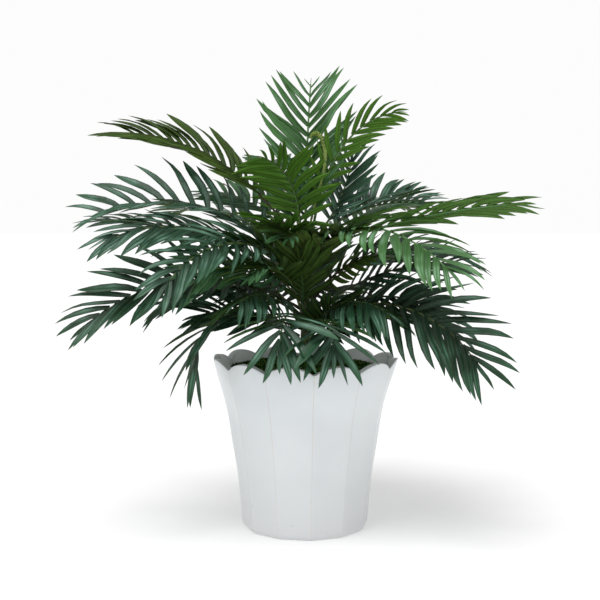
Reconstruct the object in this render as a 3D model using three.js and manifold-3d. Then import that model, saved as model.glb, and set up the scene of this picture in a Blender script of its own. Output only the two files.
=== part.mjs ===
// Artificial parlour palm in a fluted white planter.
// Millimetres, +Z up. The origin is the centre of the planter's flat underside.
// One cane rises from a mossy fill, and feather fronds leave it on all sides.

import * as THREE from 'three';
import { mergeVertices } from 'three/addons/utils/BufferGeometryUtils.js';
import Module from 'manifold-3d';

const wasm = await Module();
wasm.setup();
const { Manifold, Mesh: ManifoldMesh } = wasm;

// ---------------------------------------------------------------- driving sizes

// Planter: twelve petal-shaped lobes that meet in V grooves and flare to a scalloped rim.
const LOBES = 12;
const STEPS_PER_LOBE = 4;
const FIRST_GROOVE = 5;        // degrees from the front towards +X
const RIM_HEIGHT = 258;        // top of a petal
const RIM_SCALLOP = 12;        // drop from a petal's top to the notch beside it
const SCALLOP_REACH = 5;       // how fast the scallop dies out below the rim, as a power
const GROOVE_SHARE = 0.03;     // groove depth at the rim, as a share of the radius
const FACET_SHARE = 0.03;      // how far a lobe's middle draws in at the foot, where it is flat
const WALL_AT_RIM = 11;
const WALL_BELOW = 8;
const FLOOR_THICKNESS = 10;
const FOOT_RADIUS = 90;        // flat underside
// Outside radius at the crest of a lobe, as [height, radius].
const POT_CRESTS = [[2, 93], [8, 95.4], [60, 100], [120, 108], [175, 118], [212, 127], [240, 136]];
const RIM_RADIUS = 140;

// Fill: a plug inside the planter, domed and topped with moss.
const FILL_CLEARANCE = 0.5;
const FILL_EDGE_HEIGHT = 234;
const FILL_TOP_HEIGHT = 250;
const FILL_FLAT_RADIUS = 14;   // level spot that the cane stands on

// Cane: one tapering stem with slightly swollen joints.
const JOIN_GAP = 0.3;
const CANE_FOOT = FILL_TOP_HEIGHT + JOIN_GAP;
const CANE_TOP = 436;
const CANE_FOOT_RADIUS = 8;
const CANE_TOP_RADIUS = 4.5;
const CANE_JOINTS = 7;
const CANE_JOINT_SWELL = 0.7;
const CANE_SIDES = 8;

// Fronds: a three-sided rib that bends down as it grows, with leaflets in pairs.
const RIB_STEPS = 24;          // fine steps that the rib's curve is summed in
const PETIOLE_RINGS = 3;       // sections on the bare part of the rib
const RIB_BASE_RADIUS = 2.4;
const RIB_TIP_RADIUS = 1.1;
const LEAF_THICKNESS = 0.013;  // ridge height, as a share of its length
const LEAST_THICKNESS = 1;
const LEAF_ROOT = 5;           // length of rib that a leaflet grows from
const LEAF_WIDEST_AT = 0.42;   // share of the length from the root
const LEAF_TWIST = 18;         // each leaflet is tilted like a slat of a blind, degrees
const SHORT_LEAF = 0.62;       // leaflets at the blade's ends approach this share of the longest
const LENGTH_ARC = [0.06, 0.94];   // stretch of a half sine wave that their lengths follow
const LAST_LEAF = 0.985;       // where on the rib the last pair sits
const TAPER_POWER = 8;         // how late the blade narrows to its tip, where it does
const END_LEAF = 0.45;         // length of the end leaflet, as a share of the frond's longest
const CLEARANCE = 0.4;         // kept between leaflets of different fronds
const SHORTER = [1, 0.8, 0.6, 0.42];   // lengths tried before a leaflet is left out
// Which of a leaflet's corners each corner of its root leads to: left, end and right leaflets.
const LEAF_NAMES = {
  [-1]: ['near', 'ridge', 'ridge', 'far'],
  0: ['far', 'near', 'ridge'],
  1: ['ridge', 'near', 'far', 'ridge'],
};

const FROND_DEFAULTS = {
  bare: 0.3,      // share of the rib without leaflets, from the cane
  roll: 0,        // turn of the blade about its rib, degrees
  vee: 12,        // how far the two sides fold up, degrees
  bend: 1.4,      // how late the rib bends down, as a power
  spread: 60,     // angle between rib and first leaflets, degrees
  close: 28,      // the same at the last leaflets, degrees
  sag: 0.12,      // droop of the leaflets' tips, as a share of their length
  sweep: 0.25,    // how far their tips turn towards the rib's tip, as a share of their length
  wide: 0.125,    // widest part of a leaflet, as a share of its length
  taper: 0,       // how much shorter the last leaflets are, as a share of the longest
};

// One row a frond. The columns are its name, the height of its foot on the cane, its heading
// (0 is +X, 90 is +Y), the rise at its foot and at its tip in degrees above level, the length of
// its rib, its longest leaflet, its pairs of leaflets, and what differs from the values above.
const FRONDS = [
  ['frond_crown_spear', 437, 75, 88, 74, 232, 112, 13,
    { bare: 0.12, spread: 50, close: 42, sag: 0, sweep: 0.08, wide: 0.09, taper: 0.78 }],
  ['frond_crown_front', 428, 218, 88, 14, 150, 88, 11,
    { bare: 0.15, roll: -25, vee: 0, bend: 1.8, spread: 74, close: 38,
      sag: 0.24, sweep: 0.1, wide: 0.12, taper: 0.3 }],
  ['frond_crown_right', 430, -14, 80, 6, 246, 66, 11,
    { roll: 46, vee: 10, bend: 2, spread: 58, close: 21, sag: 0.28, sweep: 0.25, wide: 0.14, taper: 0.45 }],
  ['frond_upper_left', 420, 172, 60, 4, 326, 105, 13,
    { bare: 0.3, roll: 26, vee: 14, bend: 1.1, spread: 56, close: 32, sweep: 0.6, wide: 0.125 }],
  ['frond_upper_front', 423, -46, 35, -38, 282, 104, 14,
    { bare: 0.14, roll: -16, bend: 0.8, spread: 80, close: 40, sag: 0.24, wide: 0.135, taper: 0.15 }],
  ['frond_upper_right', 414, -14, 21, 4, 300, 92, 10,
    { bare: 0.35, roll: 34, vee: 16, bend: 1.3, spread: 27, close: 18, sag: 0.12, wide: 0.125 }],
  ['frond_middle_left', 396, 188, 49, -21, 320, 102, 12,
    { bare: 0.25, roll: 27, vee: 30, bend: 1, spread: 78, close: 40, sag: 0.1, sweep: 0.15, wide: 0.13 }],
  ['frond_middle_front_left', 384, 230, 30, -44, 296, 92, 12, { bare: 0.25, roll: 36, wide: 0.14 }],
  ['frond_middle_left_front', 380, 206, 34, -20, 306, 90, 11,
    { roll: 34, vee: 4, spread: 50, close: 22, sag: 0.2, wide: 0.14 }],
  ['frond_low_left_long', 330, 198, 32, -38, 325, 106, 15,
    { bare: 0.25, roll: 38, vee: 20, bend: 1.1, spread: 84, close: 22, sag: 0.08, sweep: 0.12, wide: 0.122 }],
  ['frond_low_right_long', 300, -34, 39, -51, 300, 110, 13,
    { bare: 0.25, roll: -50, vee: 0, bend: 1, spread: 63, close: 28, sag: 0.1, sweep: 0.05, wide: 0.12 }],
  ['frond_low_left_hanging', 300, 216, 20, -98, 224, 104, 7,
    { bare: 0.46, roll: -8, vee: 8, bend: 2.4, spread: 62, close: 24, sag: 0.18, wide: 0.125 }],
  ['frond_rim_front_left', 302, 257, 22, -84, 168, 96, 6,
    { bare: 0.62, vee: -4, bend: 3, spread: 94, close: 20, sag: 0.1, sweep: 0, wide: 0.165 }],
  ['frond_rim_front_right', 290, -76, 24, -84, 168, 92, 6,
    { bare: 0.62, vee: -4, bend: 3, spread: 94, close: 20, sag: 0.1, sweep: 0, wide: 0.165 }],
  ['frond_low_left_upright', 311, 210, 54, -32, 200, 88, 10,
    { roll: 40, vee: 14, bend: 1.7, spread: 66, close: 36 }],
  ['frond_inner_left', 342, 218, 44, 20, 120, 66, 8, { roll: 46, vee: 5, spread: 68, close: 45 }],
  ['frond_inner_right', 336, -38, 50, 20, 125, 66, 8, { roll: -50, vee: 5, spread: 68, close: 40 }],
  ['frond_middle_right', 324, -8, 36, -4, 228, 88, 12, { roll: -30, wide: 0.11 }],
  ['frond_upper_right_back', 418, 20, 56, -8, 205, 78, 11,
    { roll: -15, vee: 38, bend: 0.8, spread: 74, close: 42, wide: 0.14 }],
  ['frond_upper_back_right', 424, 33, 44, 80, 150, 80, 9,
    { bare: 0.35, roll: -20, spread: 60, close: 38, wide: 0.12 }],
  ['frond_upper_back_left', 424, 142, 40, 5, 190, 88, 9, { bare: 0.35, roll: 20 }],
  ['frond_middle_left_back', 378, 170, 29, 2, 318, 86, 11,
    { bare: 0.35, roll: 15, vee: 12, bend: 1, spread: 56, wide: 0.12 }],
  ['frond_low_left_back', 320, 176, 35, -40, 225, 90, 11, { roll: 42 }],
  ['frond_low_right_back', 305, 5, 35, -60, 250, 85, 11, { roll: -48 }],
  ['frond_upper_back', 404, 106, 62, 0, 270, 95, 12, { bare: 0.25 }],
  ['frond_middle_back_right', 376, 50, 45, -10, 290, 95, 13, { bare: 0.25 }],
  ['frond_middle_back_left', 366, 140, 45, -10, 300, 95, 13, { bare: 0.25 }],
  ['frond_middle_back', 346, 95, 40, -35, 320, 105, 13, { bare: 0.25 }],
  ['frond_middle_right_back', 346, 20, 38, -25, 275, 95, 12, { roll: -15 }],
  ['frond_low_back_left', 305, 118, 35, -35, 240, 95, 11, { bare: 0.25 }],
  ['frond_low_back_right', 300, 70, 35, -35, 240, 95, 11, { bare: 0.25 }],
  ['frond_heart_left', 340, 240, 48, -20, 150, 90, 9, {}],
  ['frond_heart_right', 344, -30, 48, -10, 160, 90, 9, {}],
  ['frond_inner_front_left', 318, 236, 34, -20, 165, 88, 10,
    { vee: -22, spread: 72, close: 40, sag: 0.25 }],
  ['frond_inner_front_right', 314, -46, 30, -24, 160, 88, 10,
    { vee: -22, spread: 72, close: 40, sag: 0.25 }],
  ['frond_inner_low_left', 288, 196, 34, -12, 150, 88, 10, { roll: 42 }],
  ['frond_inner_low_right', 284, -6, 34, -12, 190, 88, 10, { roll: -42 }],
  ['frond_upper_front_left', 405, 244, 40, 10, 120, 85, 8, {}],
  ['frond_low_front_left', 283, 222, 34, 30, 80, 92, 7,
    { roll: 38, vee: 10, spread: 72, close: 34, sag: 0.1 }],
  ['frond_low_front_right', 279, -42, 32, 26, 80, 86, 7,
    { roll: -38, vee: 5, spread: 72, close: 34, sag: 0.2 }],
  ['frond_heart_back_left', 322, 122, 60, 20, 140, 90, 8, {}],
  ['frond_heart_back_right', 326, 75, 60, 20, 140, 90, 8, {}],
  ['frond_heart_front', 312, 262, 72, 40, 110, 84, 8, {}],
  ['frond_heart_front_right', 352, 286, 66, 10, 118, 78, 8, {}],
  ['frond_heart_front_low', 276, 302, 58, 20, 95, 84, 7, {}],
  ['frond_heart_front_left', 392, 258, 50, -15, 125, 80, 8, {}],
  ['frond_heart_upper_right', 384, -58, 50, 0, 130, 82, 8, {}],
  ['frond_heart_upper_left', 366, 218, 52, 0, 130, 82, 8, {}],
];

// ---------------------------------------------------------------- materials

const GLAZE = new THREE.MeshStandardMaterial({ name: 'satin_white', color: '#dde3e6', roughness: 0.35 });
const MOSS = new THREE.MeshStandardMaterial({ name: 'moss', color: '#2f4a22', roughness: 0.95 });
const CANE = new THREE.MeshStandardMaterial({ name: 'cane', color: '#5f6b34', roughness: 0.7 });
const LEAF = new THREE.MeshStandardMaterial({ name: 'leaf_fabric', color: '#2f5a3c', roughness: 0.6 });

// ---------------------------------------------------------------- solids and meshes

const rad = THREE.MathUtils.degToRad;

function bareGeometry(geometry) {
  geometry.deleteAttribute('normal');
  geometry.deleteAttribute('uv');
  return mergeVertices(geometry, 1e-5);
}

function toSolid(geometry) {
  const bare = bareGeometry(geometry);
  return new Manifold(new ManifoldMesh({
    numProp: 3,
    vertProperties: new Float32Array(bare.attributes.position.array),
    triVerts: new Uint32Array(bare.index.array),
  }));
}

function named(name, geometry, material) {
  const mesh = new THREE.Mesh(geometry, material);
  mesh.name = name;
  return mesh;
}

// Points and faces of one closed form, gathered piece by piece.
class Skin {
  constructor() {
    this.points = [];
    this.faces = [];
  }

  add(point) {
    this.points.push(point);
    return this.points.length - 1;
  }

  ring(points) {
    return points.map((point) => this.add(point));
  }

  // Joins two loops of corners that run anticlockwise about the way from one to the other.
  // A corner of the second loop may be named twice, where the loop has fewer corners.
  wall(low, high, skip = []) {
    low.forEach((corner, k) => {
      if (skip.includes(k)) return;
      const next = (k + 1) % low.length;
      this.panel(corner, low[next], high[next], high[k]);
    });
  }

  // Four corners make two faces, parted so that the panel bulges outwards.
  panel(a, b, c, d) {
    if (c === d) {
      this.faces.push([a, b, c]);
      return;
    }
    const [pa, pb, pc, pd] = [a, b, c, d].map((corner) => this.points[corner]);
    const outwards = pb.clone().sub(pa).cross(pc.clone().sub(pa));
    if (outwards.dot(pd.clone().sub(pa)) > 0) {
      this.faces.push([a, b, d], [b, c, d]);
    } else {
      this.faces.push([a, b, c], [a, c, d]);
    }
  }

  // Draws a loop together in one point.
  point(loop, tip) {
    loop.forEach((corner, k) => {
      const next = loop[(k + 1) % loop.length];
      if (corner !== next) this.faces.push([corner, next, tip]);
    });
  }

  // Closes a loop with a flat face that looks out of the side the loop runs anticlockwise on.
  cap(loop) {
    for (let k = 1; k < loop.length - 1; k += 1) this.faces.push([loop[0], loop[k], loop[k + 1]]);
  }

  geometry() {
    const geometry = new THREE.BufferGeometry();
    const numbers = this.points.flatMap((point) => point.toArray());
    geometry.setAttribute('position', new THREE.Float32BufferAttribute(numbers, 3));
    geometry.setIndex(this.faces.flat());
    return geometry;
  }
}

// ---------------------------------------------------------------- planter and fill

// 0 at the middle of a lobe and 1 in the grooves on both sides of it.
function towardsGroove(angle) {
  const pitch = 360 / LOBES;
  const share = (((angle - FIRST_GROOVE) / pitch) % 1 + 1) % 1;
  return (2 * share - 1) ** 2;
}

// Turns a round lathe form into a lobed one, in place: flat between the seams at the foot,
// drawn in at the grooves towards the rim, and a rim drops to its notches by "scallop".
function makeLobed(geometry, scallop) {
  const position = geometry.attributes.position;
  for (let i = 0; i < position.count; i += 1) {
    const x = position.getX(i);
    const y = position.getY(i);
    const z = position.getZ(i);
    const groove = towardsGroove(THREE.MathUtils.radToDeg(Math.atan2(x, -y)));
    const reach = (z / RIM_HEIGHT) ** SCALLOP_REACH;
    const drawIn = 1 - THREE.MathUtils.lerp(FACET_SHARE * (1 - groove), GROOVE_SHARE * groove, reach);
    const drop = Math.hypot(x, y) < 1 ? 0 : scallop * groove * reach;
    position.setXYZ(i, x * drawIn, y * drawIn, z - drop);
  }
  return geometry;
}

// A lathe about Z whose first segment starts in a groove.
function lobedLathe(profile, scallop = 0) {
  const points = profile.map(([radius, height]) => new THREE.Vector2(radius, height));
  const lathe = new THREE.LatheGeometry(points, LOBES * STEPS_PER_LOBE);
  lathe.rotateX(Math.PI / 2);
  lathe.rotateZ(rad(FIRST_GROOVE));
  return makeLobed(bareGeometry(lathe), scallop);
}

function wallAt(height) {
  return THREE.MathUtils.lerp(WALL_BELOW, WALL_AT_RIM, (height / RIM_HEIGHT) ** 3);
}

function insideRadius(height) {
  const above = POT_CRESTS.findIndex(([z]) => z >= height);
  const [z1, r1] = above < 0 ? [RIM_HEIGHT, RIM_RADIUS] : POT_CRESTS[above];
  const [z0, r0] = POT_CRESTS[(above < 0 ? POT_CRESTS.length : above) - 1];
  return THREE.MathUtils.mapLinear(height, z0, z1, r0, r1) - wallAt(height);
}

function makePot() {
  const innerHeights = [RIM_HEIGHT - 1, 235, 200, 110, FLOOR_THICKNESS];
  const profile = [
    [0, 0],
    [FOOT_RADIUS, 0],
    ...POT_CRESTS.map(([height, radius]) => [radius, height]),
    [RIM_RADIUS, RIM_HEIGHT],
    ...innerHeights.map((height) => [insideRadius(height), height]),
    [0, FLOOR_THICKNESS],
  ];
  return named('pot', lobedLathe(profile, RIM_SCALLOP), GLAZE);
}

function makeFill() {
  const base = FLOOR_THICKNESS + FILL_CLEARANCE;
  const wallHeights = [base, 110, 200, FILL_EDGE_HEIGHT];
  const domeShares = [0.75, 0.45];
  const edge = insideRadius(FILL_EDGE_HEIGHT) - FILL_CLEARANCE;
  const dome = domeShares.map((share) => [
    THREE.MathUtils.lerp(FILL_FLAT_RADIUS, edge, share),
    THREE.MathUtils.lerp(FILL_TOP_HEIGHT, FILL_EDGE_HEIGHT, share ** 2),
  ]);
  const profile = [
    [0, base],
    ...wallHeights.map((height) => [insideRadius(height) - FILL_CLEARANCE, height]),
    ...dome,
    [FILL_FLAT_RADIUS, FILL_TOP_HEIGHT],
    [0, FILL_TOP_HEIGHT],
  ];
  return named('moss_fill', lobedLathe(profile), MOSS);
}

// ---------------------------------------------------------------- cane

function caneRadius(height) {
  return THREE.MathUtils.mapLinear(height, CANE_FOOT, CANE_TOP, CANE_FOOT_RADIUS, CANE_TOP_RADIUS);
}

function makeCane() {
  const profile = [new THREE.Vector2(0, CANE_FOOT)];
  for (let step = 0; step <= 2 * CANE_JOINTS; step += 1) {
    const height = THREE.MathUtils.mapLinear(step, 0, 2 * CANE_JOINTS, CANE_FOOT, CANE_TOP);
    const swell = step % 2 ? 0 : CANE_JOINT_SWELL;
    profile.push(new THREE.Vector2(caneRadius(height) + swell, height));
  }
  profile.push(new THREE.Vector2(0, CANE_TOP));
  const lathe = new THREE.LatheGeometry(profile, CANE_SIDES);
  lathe.rotateX(Math.PI / 2);
  return named('cane', bareGeometry(lathe), CANE);
}

// ---------------------------------------------------------------- fronds

function direction(heading, rise) {
  const level = new THREE.Vector3(Math.cos(rad(heading)), Math.sin(rad(heading)), 0);
  return level.multiplyScalar(Math.cos(rad(rise))).setZ(Math.sin(rad(rise)));
}

// The rib's points and its directions, from foot to tip.
function growRib(frond) {
  const onTop = frond.foot > CANE_TOP;
  const leanIn = RIB_BASE_RADIUS * Math.sin(rad(frond.rise));
  const offset = onTop ? 0 : caneRadius(frond.foot) + CANE_JOINT_SWELL + JOIN_GAP + leanIn;
  const point = direction(frond.heading, 0).multiplyScalar(offset);
  point.z = frond.foot;
  const points = [point.clone()];
  const ways = [];
  for (let step = 0; step <= RIB_STEPS; step += 1) {
    const rise = THREE.MathUtils.lerp(frond.rise, frond.dip, (step / RIB_STEPS) ** frond.bend);
    ways.push(direction(frond.heading, rise));
  }
  for (let step = 0; step < RIB_STEPS; step += 1) {
    const way = ways[step].clone().add(ways[step + 1]).normalize();
    point.addScaledVector(way, frond.length / RIB_STEPS);
    points.push(point.clone());
  }
  return { ...frond, points, ways };
}

function between(list, share) {
  const step = Math.min(Math.floor(share * RIB_STEPS), RIB_STEPS - 1);
  return list[step].clone().lerp(list[step + 1], share * RIB_STEPS - step);
}

// The blade's own axes at a place on the rib: along it, to its right, and out of its upper face.
function bladeAxes(frond, share) {
  const along = between(frond.ways, share).normalize();
  const right = direction(frond.heading - 90, 0);
  const up = right.clone().cross(along);
  const roll = rad(frond.roll);
  const side = right.clone().multiplyScalar(Math.cos(roll)).addScaledVector(up, Math.sin(roll));
  const face = up.clone().multiplyScalar(Math.cos(roll)).addScaledVector(right, -Math.sin(roll));
  return { along, side, face };
}

// Three corners round the rib, anticlockwise about it: right, left and top.
function ribSection(frond, share) {
  const { side, face } = bladeAxes(frond, share);
  const radius = THREE.MathUtils.lerp(RIB_BASE_RADIUS, RIB_TIP_RADIUS, share);
  return [-30, 210, 90].map((turn) => between(frond.points, share)
    .addScaledVector(side, radius * Math.cos(rad(turn)))
    .addScaledVector(face, radius * Math.sin(rad(turn))));
}

// Leaflets are longest in the middle of the blade and shorter at both ends. "share" runs from
// the first pair to the last.
function leafLength(frond, share) {
  const arc = Math.PI * THREE.MathUtils.lerp(LENGTH_ARC[0], LENGTH_ARC[1], share);
  const length = frond.leaf * THREE.MathUtils.lerp(SHORT_LEAF, 1, Math.sin(arc));
  return length * (1 - frond.taper * share ** TAPER_POWER);
}

// A leaflet bends from the way that it leaves the rib towards its ending, by gravity.
function makeLeaf(frond, root, way, ending, length, along, face) {
  const flat = along.clone().addScaledVector(way, -along.dot(way)).normalize();
  const above = face.clone().addScaledVector(way, -face.dot(way)).normalize();
  const twist = rad(LEAF_TWIST);
  const across = flat.clone().multiplyScalar(Math.cos(twist)).addScaledVector(above, Math.sin(twist));
  const up = above.clone().multiplyScalar(Math.cos(twist)).addScaledVector(flat, -Math.sin(twist));
  return { root, way, ending, length, wide: frond.wide, across, up };
}

function sideLeaf(frond, pair, hand) {
  const share = pair / (frond.pairs - 1);
  const place = THREE.MathUtils.lerp(frond.bare, LAST_LEAF, share);
  const { along, side, face } = bladeAxes(frond, place);
  const open = rad(THREE.MathUtils.lerp(frond.spread, frond.close, share));
  const fold = rad(frond.vee);
  const out = side.clone().multiplyScalar(hand * Math.cos(fold)).addScaledVector(face, Math.sin(fold));
  const way = along.clone().multiplyScalar(Math.cos(open)).addScaledVector(out, Math.sin(open));
  const ending = way.clone().addScaledVector(along, frond.sweep);
  ending.z -= frond.sag;
  const root = between(frond.points, place);
  const length = leafLength(frond, share);
  const leaf = makeLeaf(frond, root, way, ending.normalize(), length, along, face);
  const [low, high] = leafRings(frond, pair);
  return { ...leaf, rootLoop: leafLoop(low, high, hand), names: LEAF_NAMES[hand] };
}

// The rib's two sections that a pair of leaflets sits between.
function leafRings(frond, pair) {
  const place = THREE.MathUtils.lerp(frond.bare, LAST_LEAF, pair / (frond.pairs - 1));
  const reach = LEAF_ROOT / 2 / frond.length;
  return [ribSection(frond, place - reach), ribSection(frond, Math.min(place + reach, 1))];
}

// The four corners of the rib's left or right face between two of its sections.
function leafLoop(low, high, hand) {
  return hand < 0 ? [low[1], low[2], high[2], high[1]] : [low[2], low[0], high[0], high[2]];
}

function endLeaf(frond) {
  const { along, side, face } = bladeAxes(frond, 1);
  const ending = along.clone();
  ending.z -= frond.sag / 2;
  return {
    root: frond.points.at(-1),
    way: along,
    ending: ending.normalize(),
    length: frond.leaf * END_LEAF * (1 - frond.taper),
    wide: frond.wide,
    across: side,
    up: face,
    rootLoop: leafRings(frond, frond.pairs - 1)[1],
    names: LEAF_NAMES[0],
  };
}

// The corners of a leaflet beyond its root: its two edges and ridge where it is widest, and its
// tip. "grown" makes it larger all round.
function leafCorners(leaf, cut, grown = 0) {
  const length = leaf.length * cut;
  const tip = leaf.root.clone().addScaledVector(leaf.ending, length + grown);
  const bow = leaf.root.clone().addScaledVector(leaf.way, length / 2);
  const s = LEAF_WIDEST_AT;
  const middle = leaf.root.clone().multiplyScalar((1 - s) ** 2)
    .addScaledVector(bow, 2 * s * (1 - s))
    .addScaledVector(tip, s * s);
  const half = leaf.length * leaf.wide / 2 + grown;
  const depth = Math.max(leaf.length * LEAF_THICKNESS, LEAST_THICKNESS);
  return {
    near: middle.clone().addScaledVector(leaf.across, -half).addScaledVector(leaf.up, -depth / 3 - grown),
    far: middle.clone().addScaledVector(leaf.across, half).addScaledVector(leaf.up, -depth / 3 - grown),
    ridge: middle.clone().addScaledVector(leaf.up, 2 * depth / 3 + grown),
    tip,
  };
}

// A leaflet as a solid of its own, a little larger than life, to test what it would touch.
function guardSolid(leaf, cut) {
  const skin = new Skin();
  const loop = skin.ring(leaf.rootLoop);
  skin.cap([...loop].reverse());
  addLeaf(skin, leaf, cut, loop, CLEARANCE);
  return toSolid(skin.geometry());
}

function boxesMeet(a, b) {
  return a.min.every((low, axis) => low <= b.max[axis] && b.min[axis] <= a.max[axis]);
}

// The longest cut of a leaflet that stays clear of everything around it, or 0 for none.
function longestCut(leaf, obstacles) {
  for (const cut of SHORTER) {
    const guard = guardSolid(leaf, cut);
    const box = guard.boundingBox();
    const isClear = obstacles.every((other) => (
      !boxesMeet(box, other.boundingBox()) || guard.intersect(other).isEmpty()
    ));
    if (isClear) return { cut, guard };
  }
  return { cut: 0 };
}

// The closed form of a frond. A leaflet takes the place of the rib's side face at its root, so
// rib and leaflets are one skin.
function frondGeometry(frond, cuts) {
  const skin = new Skin();
  const shares = [];
  for (let k = 0; k < PETIOLE_RINGS; k += 1) shares.push(frond.bare * k / PETIOLE_RINGS);
  let last = null;
  for (const share of shares) last = addRibRing(skin, frond, share, last);
  for (let pair = 0; pair < frond.pairs; pair += 1) {
    const [low, high] = leafRings(frond, pair).map((ring) => skin.ring(ring));
    skin.wall(last, low);
    const [rightCut, leftCut] = cuts.pairs[pair];
    skin.wall(low, high, [...(leftCut ? [1] : []), ...(rightCut ? [2] : [])]);
    if (leftCut) addLeaf(skin, sideLeaf(frond, pair, -1), leftCut, leafLoop(low, high, -1));
    if (rightCut) addLeaf(skin, sideLeaf(frond, pair, 1), rightCut, leafLoop(low, high, 1));
    last = high;
  }
  if (cuts.end) {
    addLeaf(skin, endLeaf(frond), cuts.end, last);
  } else {
    skin.cap(last);
  }
  return skin.geometry();
}

function addRibRing(skin, frond, share, last) {
  const ring = skin.ring(ribSection(frond, share));
  if (last) {
    skin.wall(last, ring);
  } else {
    skin.cap([...ring].reverse());
  }
  return ring;
}

// Grows a leaflet out of the loop of corners at its root.
function addLeaf(skin, leaf, cut, loop, grown = 0) {
  const corners = leafCorners(leaf, cut, grown);
  const index = {};
  for (const name of ['near', 'far', 'ridge']) index[name] = skin.add(corners[name]);
  const high = leaf.names.map((name) => index[name]);
  skin.wall(loop, high);
  skin.point(high, skin.add(corners.tip));
}

function readRow([name, foot, heading, rise, dip, length, leaf, pairs, differs]) {
  return growRib({ ...FROND_DEFAULTS, name, foot, heading, rise, dip, length, leaf, pairs, ...differs });
}

function bareFrond(frond) {
  const pairs = Array.from({ length: frond.pairs }, () => [0, 0]);
  return toSolid(frondGeometry(frond, { pairs, end: 0 }));
}

// Grows all ribs first. Then each frond in turn puts its leaflets where they touch nothing: no
// other frond, planter, fill or cane, and no leaflet of its own but the one across the rib.
function makeFronds(fixedSolids) {
  const fronds = FRONDS.map(readRow);
  const solids = fronds.map(bareFrond);
  return fronds.map((frond, index) => {
    const others = [...fixedSolids, ...solids.filter((_, k) => k !== index)];
    const own = [];
    const tryLeaf = (leaf) => {
      const { cut, guard } = longestCut(leaf, [...others, ...own]);
      return { cut, guards: cut ? [guard] : [] };
    };
    const cuts = { pairs: [], end: 0 };
    for (let pair = 0; pair < frond.pairs; pair += 1) {
      const [right, left] = [1, -1].map((hand) => tryLeaf(sideLeaf(frond, pair, hand)));
      own.push(...right.guards, ...left.guards);
      cuts.pairs.push([right.cut, left.cut]);
    }
    cuts.end = tryLeaf(endLeaf(frond)).cut;
    const geometry = frondGeometry(frond, cuts);
    solids[index] = toSolid(geometry.clone());
    return named(frond.name, geometry, LEAF);
  });
}

// ---------------------------------------------------------------- the whole plant

const pot = makePot();
const fill = makeFill();
const cane = makeCane();
const fixedSolids = [pot, fill, cane].map((mesh) => toSolid(mesh.geometry.clone()));

const palm = new THREE.Group();
palm.add(pot, fill, cane, ...makeFronds(fixedSolids));

export default palm;
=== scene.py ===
# %% [markdown]
# # An artificial parlour palm in a fluted planter
#
# The real thing is a shop-made plant: fabric fronds that are die-cut in one piece, heat-pressed so
# that each leaflet gets its fold, and glued to moulded plastic ribs. The ribs plug into one cane,
# the cane stands in a foam block, and dried moss hides the foam. This lesson dresses the packed
# solids with fine surfaces: first the frame, the camera and the helpers, then the planter, the moss,
# the cane and the fronds, and at the end the light.

import math
import random

import bpy
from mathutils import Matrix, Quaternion, Vector


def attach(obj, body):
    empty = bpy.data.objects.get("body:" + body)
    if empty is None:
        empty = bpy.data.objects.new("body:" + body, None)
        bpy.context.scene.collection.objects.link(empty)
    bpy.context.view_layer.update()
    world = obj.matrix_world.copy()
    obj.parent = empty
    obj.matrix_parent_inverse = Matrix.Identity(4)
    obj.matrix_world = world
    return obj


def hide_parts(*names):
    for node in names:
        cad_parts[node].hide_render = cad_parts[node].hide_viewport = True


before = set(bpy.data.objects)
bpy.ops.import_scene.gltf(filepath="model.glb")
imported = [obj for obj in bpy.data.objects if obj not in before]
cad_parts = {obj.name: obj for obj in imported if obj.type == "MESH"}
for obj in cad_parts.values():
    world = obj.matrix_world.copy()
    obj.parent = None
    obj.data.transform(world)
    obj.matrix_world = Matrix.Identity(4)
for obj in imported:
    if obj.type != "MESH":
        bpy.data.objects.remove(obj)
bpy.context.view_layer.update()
MM = 0.001

# %% [markdown]
# ## The camera
# A product picture of a plant is taken from a little above the rim of the planter, with a long lens,
# so that the upright lines of the planter stay nearly upright. The lens is 69 mm on a 36 mm sensor,
# and the camera stands 1.7 m away and looks down by about 4 degrees.

# %% Camera
CAMERA_PLACE = Vector((-8, -1719, 468)) * MM
CAMERA_DOWN = math.radians(4.18)
CAMERA_LENS = 68.9

lens = bpy.data.cameras.new("camera")
lens.lens = CAMERA_LENS
lens.sensor_width = 36
camera = bpy.data.objects.new("camera", lens)
camera.location = CAMERA_PLACE
camera.rotation_euler = (math.pi / 2 - CAMERA_DOWN, 0, 0)
bpy.context.scene.collection.objects.link(camera)
bpy.context.scene.camera = camera
print("camera at", tuple(round(v, 3) for v in CAMERA_PLACE))

# %% [markdown]
# ## Helpers
# Every material and every node group below is made with one small function, which adds a node, sets
# its properties, and fills or links its inputs. Colours are written as sRGB hex, as a paint chart
# gives them, and are turned to the linear values that shaders expect.


# %% Colours and nodes
# The kinds of node that are used most.
MATH, VECTOR_MATH, SPLIT = "ShaderNodeMath", "ShaderNodeVectorMath", "ShaderNodeSeparateXYZ"
COORDINATES, NOISE, BUMP = "ShaderNodeTexCoord", "ShaderNodeTexNoise", "ShaderNodeBump"
MAP_RANGE, MIX, RANDOM = "ShaderNodeMapRange", "ShaderNodeMix", "FunctionNodeRandomValue"
ATTRIBUTE, STORE = "GeometryNodeInputNamedAttribute", "GeometryNodeStoreNamedAttribute"
MOVE, PAINT = "GeometryNodeSetPosition", "GeometryNodeSetMaterial"


def linear(colour):
    channels = [int(colour[start:start + 2], 16) / 255 for start in (1, 3, 5)]
    return tuple(c / 12.92 if c <= 0.04045 else ((c + 0.055) / 1.055) ** 2.4 for c in channels) + (1.0,)


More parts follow.
